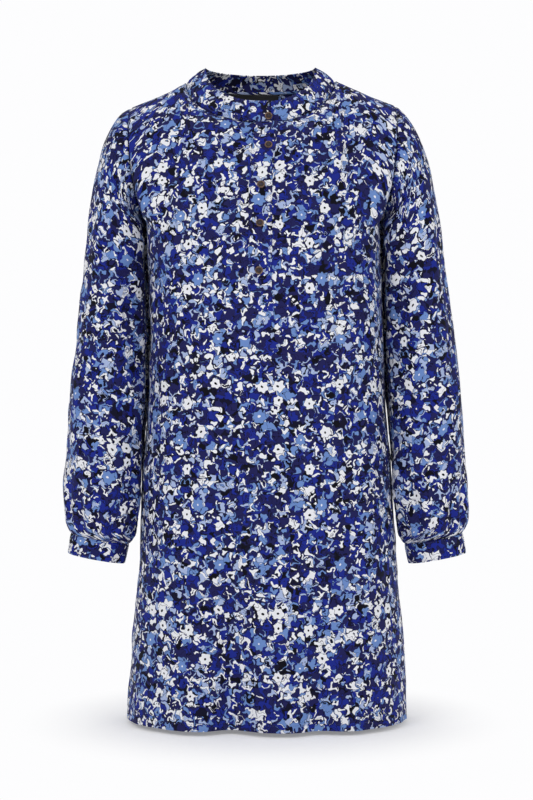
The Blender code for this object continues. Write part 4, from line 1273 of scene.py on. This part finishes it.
def stitches(path, normal):
    """A row of machine stitches along a path: each a six-sided spindle, STITCH_PITCH apart."""
    gone = np.concatenate(((0.0,), np.cumsum(np.linalg.norm(np.diff(path, axis=0), axis=1))))
    count = max(int(gone[-1] / STITCH_PITCH), 1)
    at = (np.arange(count) + 0.5) * gone[-1] / count
    centre, ahead, behind = (along_line(at + step, gone, path) for step in (0.0, 0.0006, -0.0006))
    along = unit(ahead - behind)
    out = unit(along_line(at, gone, normal))
    beside = unit(np.cross(out, along))
    turn = np.arange(6) * np.pi / 3
    shape = []
    for share, width in ((-0.5, 0.25), (-0.30, 0.9), (0.0, 1.0), (0.30, 0.9), (0.5, 0.25)):
        flat, high = width * np.cos(turn) * STITCH_WIDTH / 2, width * np.sin(turn) * STITCH_WIDTH / 3
        shape.append(np.stack((np.full(6, share * STITCH_LENGTH), flat, high), axis=-1))
    shape = np.concatenate(shape)
    points = centre[:, None] + along[:, None] * shape[None, :, :1]
    points = points + beside[:, None] * shape[None, :, 1:2] + out[:, None] * shape[None, :, 2:]
    ring, step = np.arange(4)[:, None] * 6, np.arange(6)[None, :]
    after = (step + 1) % 6
    sides = np.stack((ring + step, ring + after, ring + 6 + after, ring + 6 + step), axis=-1)
    ends = np.array(((5, 4, 3, 2), (5, 2, 1, 0), (24, 25, 26, 27), (24, 27, 28, 29)))
    one = np.concatenate((sides.reshape(-1, 4), ends))
    faces = (one[None] + np.arange(count)[:, None, None] * len(shape)).reshape(-1, 4)
    return points.reshape(-1, 3), faces


def lifted_line(points, axis, at, lift):
    """A line over a grid at a place of its rows (axis 0) or columns (axis 1), lifted off it."""
    normals = outward(points)
    low = int(np.clip(np.floor(at), 0, points.shape[axis] - 2))
    share = at - low
    path, normal = (
        mix(np.take(values, low, axis=axis), np.take(values, low + 1, axis=axis), share)
        for values in (points, normals)
    )
    normal = unit(normal)
    return path + normal * lift, normal


def at_distance(points, axis, distance, from_end=False):
    """The place along rows or columns at which the grid has run a distance from its edge."""
    length = np.median(run(points, axis), axis=1 - axis)
    if from_end:
        distance = length[-1] - distance
    return float(np.interp(distance, length, np.arange(len(length))))


def ridden(piece, slot, *nodes):
    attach(piece, "root")
    if nodes:
        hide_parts(*nodes)
    return piece


def printed(name, points, place, cut_at, slot, *nodes, **more):
    """A piece of the printed cloth, cut at the place cut_at of the print, in metres."""
    return ridden(cloth(name, points, place + np.array(cut_at), viscose_print, **more), slot, *nodes)


def sewn(name, rows, slot):
    """Joins rows of stitches into one piece."""
    points = np.concatenate([row_points for row_points, _ in rows])
    starts = np.cumsum([0] + [len(row_points) for row_points, _ in rows[:-1]])
    faces = np.concatenate([row_faces + start for (_, row_faces), start in zip(rows, starts)])
    return ridden(mesh_object(name, settle(points), faces, None, thread), slot)


def sewn_edges(name, grid, rings, thickness, slot):
    """Stitches along both long edges of a band; rings is its grid with the last column joined up."""
    rows = []
    for from_end in (False, True):
        place = at_distance(grid, 0, EDGE_STITCH, from_end)
        rows.append(stitches(*lifted_line(rings, 0, place, thickness / 2 + STITCH_LIFT)))
    return sewn(name, rows, slot)


viscose_print = printed_viscose()
thread = sewing_thread()
horn = turned_horn()
tape = woven_tape()

# Front and back
front_points, front_place, front_keep = panel(True)
front_cloth = printed(
    "front_cloth", front_points, front_place, (0.0, 0.0), "print_front", "front_panel", keep=front_keep
)
back_points, back_place, _ = panel(False)
back_cloth = printed("back_cloth", back_points, back_place, (0.031, 0.117), "print_back", "back_panel")

# The placket's two strips: the over one is drawn in at its edges, which are a little uneven
strip = np.array((-1.0, -0.97, -0.93, -0.87, -0.75, -0.5, -0.2, 0.2, 0.5, 0.75, 0.87, 0.93, 0.97, 1.0))
placket_over = strip_of_front(PLACKET_HALF_WIDTH, LAYER + 0.0002, strip)
size = np.abs(strip)
lie = -0.0009 * smooth_step((size - 0.80) / 0.20) + 0.0003 * np.cos(size * np.pi / 2)
uneven = 0.00025 * np.sin(np.arange(len(placket_over)) * 0.55)[:, None] * (size > 0.9)[None, :]
placket_over = placket_over + outward(placket_over) * (lie[None, :] + uneven)[..., None]
placket_over_cloth = printed(
    "placket_over_cloth",
    placket_over,
    laid_out(placket_over),
    (0.002 - PLACKET_HALF_WIDTH, 0.573),
    "print_placket",
    "placket_over",
    wall=SEEN_PLACKET,
)
placket_under = strip_of_front(PLACKET_HALF_WIDTH - 0.0005, -LAYER, strip)
placket_under_cloth = printed(
    "placket_under_cloth",
    placket_under,
    laid_out(placket_under),
    (0.211, 0.407),
    "print_placket",
    "placket_under",
    wall=SEEN_PLACKET,
)

# Collar
collar_points = collar_cloth()
collar_place = laid_out(collar_points)
collar_place[..., 0] = collar_place[len(collar_points) // 2, :, 0]
collar_band_cloth = printed(
    "collar_band_cloth",
    collar_points,
    collar_place,
    (0.043, 0.019),
    "print_collar",
    "collar_band",
    wall=SEEN_BAND,
)
allowance = collar_allowance()
collar_allowance_cloth = printed(
    "collar_allowance_cloth",
    allowance,
    laid_out(allowance),
    (0.0, 0.0),
    "print_collar",
    wall=SEEN_ALLOWANCE,
)

# Sleeves and cuffs
cuffs = {}
for word, side, shift in (("left", 1.0, (0.017, 0.063)), ("right", -1.0, (0.061, 0.021))):
    for kind, points, cut_at, wall in (
        ("sleeve", sleeve_cloth(side), shift, SEEN_WALL),
        ("cuff", cuff_cloth(side), shift[::-1], SEEN_CUFF),
    ):
        rings = np.concatenate((points, points[:, :1]), axis=1)
        place, middle = laid_out(rings), points.shape[1] // 2
        place[..., 0] -= place[:, middle : middle + 1, 0].copy()
        named = f"{kind}_{word}"
        printed(f"{named}_cloth", points, place, cut_at, f"print_{kind}", named, wall=wall, closed=True)
        if kind == "cuff":
            cuffs[word] = (points, rings)

neck_tape_points = neck_tape_cloth()
neck_tape = cloth("neck_tape", neck_tape_points, laid_out(neck_tape_points), tape, wall=SEEN_TAPE)
ridden(neck_tape, "woven_tape", "neck_label")

# Buttons, and the bars of thread that hold them
bars = []
for number, (z, x) in enumerate(BUTTON_PLACES):
    node = f"button_{number + 1}"
    normal, upright = surface_frame(placket_over if number else collar_points[:, -26:], x, z)
    low_corner, high_corner = (np.array(corner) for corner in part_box(node))
    centre = (low_corner + high_corner) / 2 - normal * BUTTON_THICKNESS / 2
    ridden(disc_button(f"{node}_turned", centre, normal, upright, horn), "horn_button", node)
    across = unit(np.cross(upright, normal))
    for side in (-1.0, 1.0):
        start = centre + normal * BAR_LIFT + across * HOLE_STEP * side - upright * BAR_LENGTH / 2
        path = np.stack([start + upright * BAR_LENGTH * t for t in (0.0, 0.5, 1.0)])
        for nudge in (-BAR_NUDGE, BAR_NUDGE):
            bars.append(stitches(path + across * nudge, np.repeat(normal[None], 3, axis=0)))
sewn("button_threads", bars, "horn_button")

# Topstitching: round the placket, along the collar band, the cuffs and the hem
lift = SEEN_PLACKET / 2 + STITCH_LIFT
rows = []
for from_end in (False, True):
    beside = at_distance(placket_over, 1, PLACKET_CROSS_STITCHES[0], from_end)
    rows.append(stitches(*lifted_line(placket_over, 1, beside, lift)))
for distance in PLACKET_CROSS_STITCHES:
    path, normal = lifted_line(placket_over, 0, at_distance(placket_over, 0, distance), lift)
    rows.append(stitches(path[1:-1], normal[1:-1]))
sewn("placket_stitches", rows, "print_placket")
sewn_edges("collar_stitches", collar_points, collar_points, SEEN_BAND, "print_collar")
for word, (points, rings) in cuffs.items():
    sewn_edges(f"cuff_{word}_stitches", points, rings, SEEN_CUFF, "print_cuff")
hems = (("front", front_points, front_place), ("back", back_points, back_place))
for word, points, _ in hems:
    path = lifted_line(points, 0, at_distance(points, 0, HEM_STITCH), SEEN_WALL / 2 + STITCH_LIFT)
    sewn(f"hem_{word}_stitches", [stitches(*path)], f"print_{word}")

# The hem's turned-up edge, inside
for word, points, place in hems:
    count = int(np.ceil(at_distance(points, 0, HEM_STITCH + TURNING_PAST)))
    turned, place, name = points[:count, 2:-2], place[:count, 2:-2], f"hem_{word}_turning"
    turned = turned - outward(turned) * TURNING_DEPTH
    printed(name, turned, place, (0.11, 0.23), f"print_{word}", wall=SEEN_TURNING)

# Floor, light, camera
floor_mesh = bpy.data.meshes.new("studio floor")
floor_mesh.from_pydata([(-9, -9, 0), (9, -9, 0), (9, 9, 0), (-9, 9, 0)], [], [(0, 1, 2, 3)])
floor_mesh.materials.append(studio_floor())
floor = put("studio_floor", floor_mesh, (0.0, 0.0, HEM_Z - 0.006))

scene = bpy.context.scene
world = bpy.data.worlds.new("white studio")
world.use_nodes = True
tree = world.node_tree
tree.nodes.clear()
seen = add_node(tree, "ShaderNodeLightPath").outputs["Is Camera Ray"]
strength = add_node(tree, MAP_RANGE, {"Value": seen, "To Min": 0.40, "To Max": 1.0})
sky = add_node(tree, "ShaderNodeBackground", {"Color": linear("#fdfdfe"), "Strength": strength})
add_node(tree, "ShaderNodeOutputWorld", {"Surface": sky})
scene.world = world

# Square softboxes, turned to the middle of the dress. name, place, size, power
for name, place, size, power in (
    ("key softbox", (-1.5, -2.2, 1.3), 1.6, 26.0),
    ("fill softbox", (1.8, -2.0, 0.6), 1.8, 15.0),
    ("top softbox", (0.0, 0.6, 2.2), 1.8, 16.0),
):
    light = bpy.data.lights.new(name, "AREA")
    light.shape = "SQUARE"
    light.size = size
    light.energy = power
    to_dress = Vector((0.0, 0.0, -0.4)) - Vector(place)
    put(name, light, place, to_dress.to_track_quat("-Z", "Y").to_euler())

lens = bpy.data.cameras.new("camera")
lens.sensor_width = 36.0
lens.sensor_fit = "AUTO"
lens.lens = 80.13
scene.camera = put("camera", lens, (0.0027, -2.4, -0.431), (np.pi / 2, 0.0, 0.0))
scene.view_settings.view_transform = "Standard"
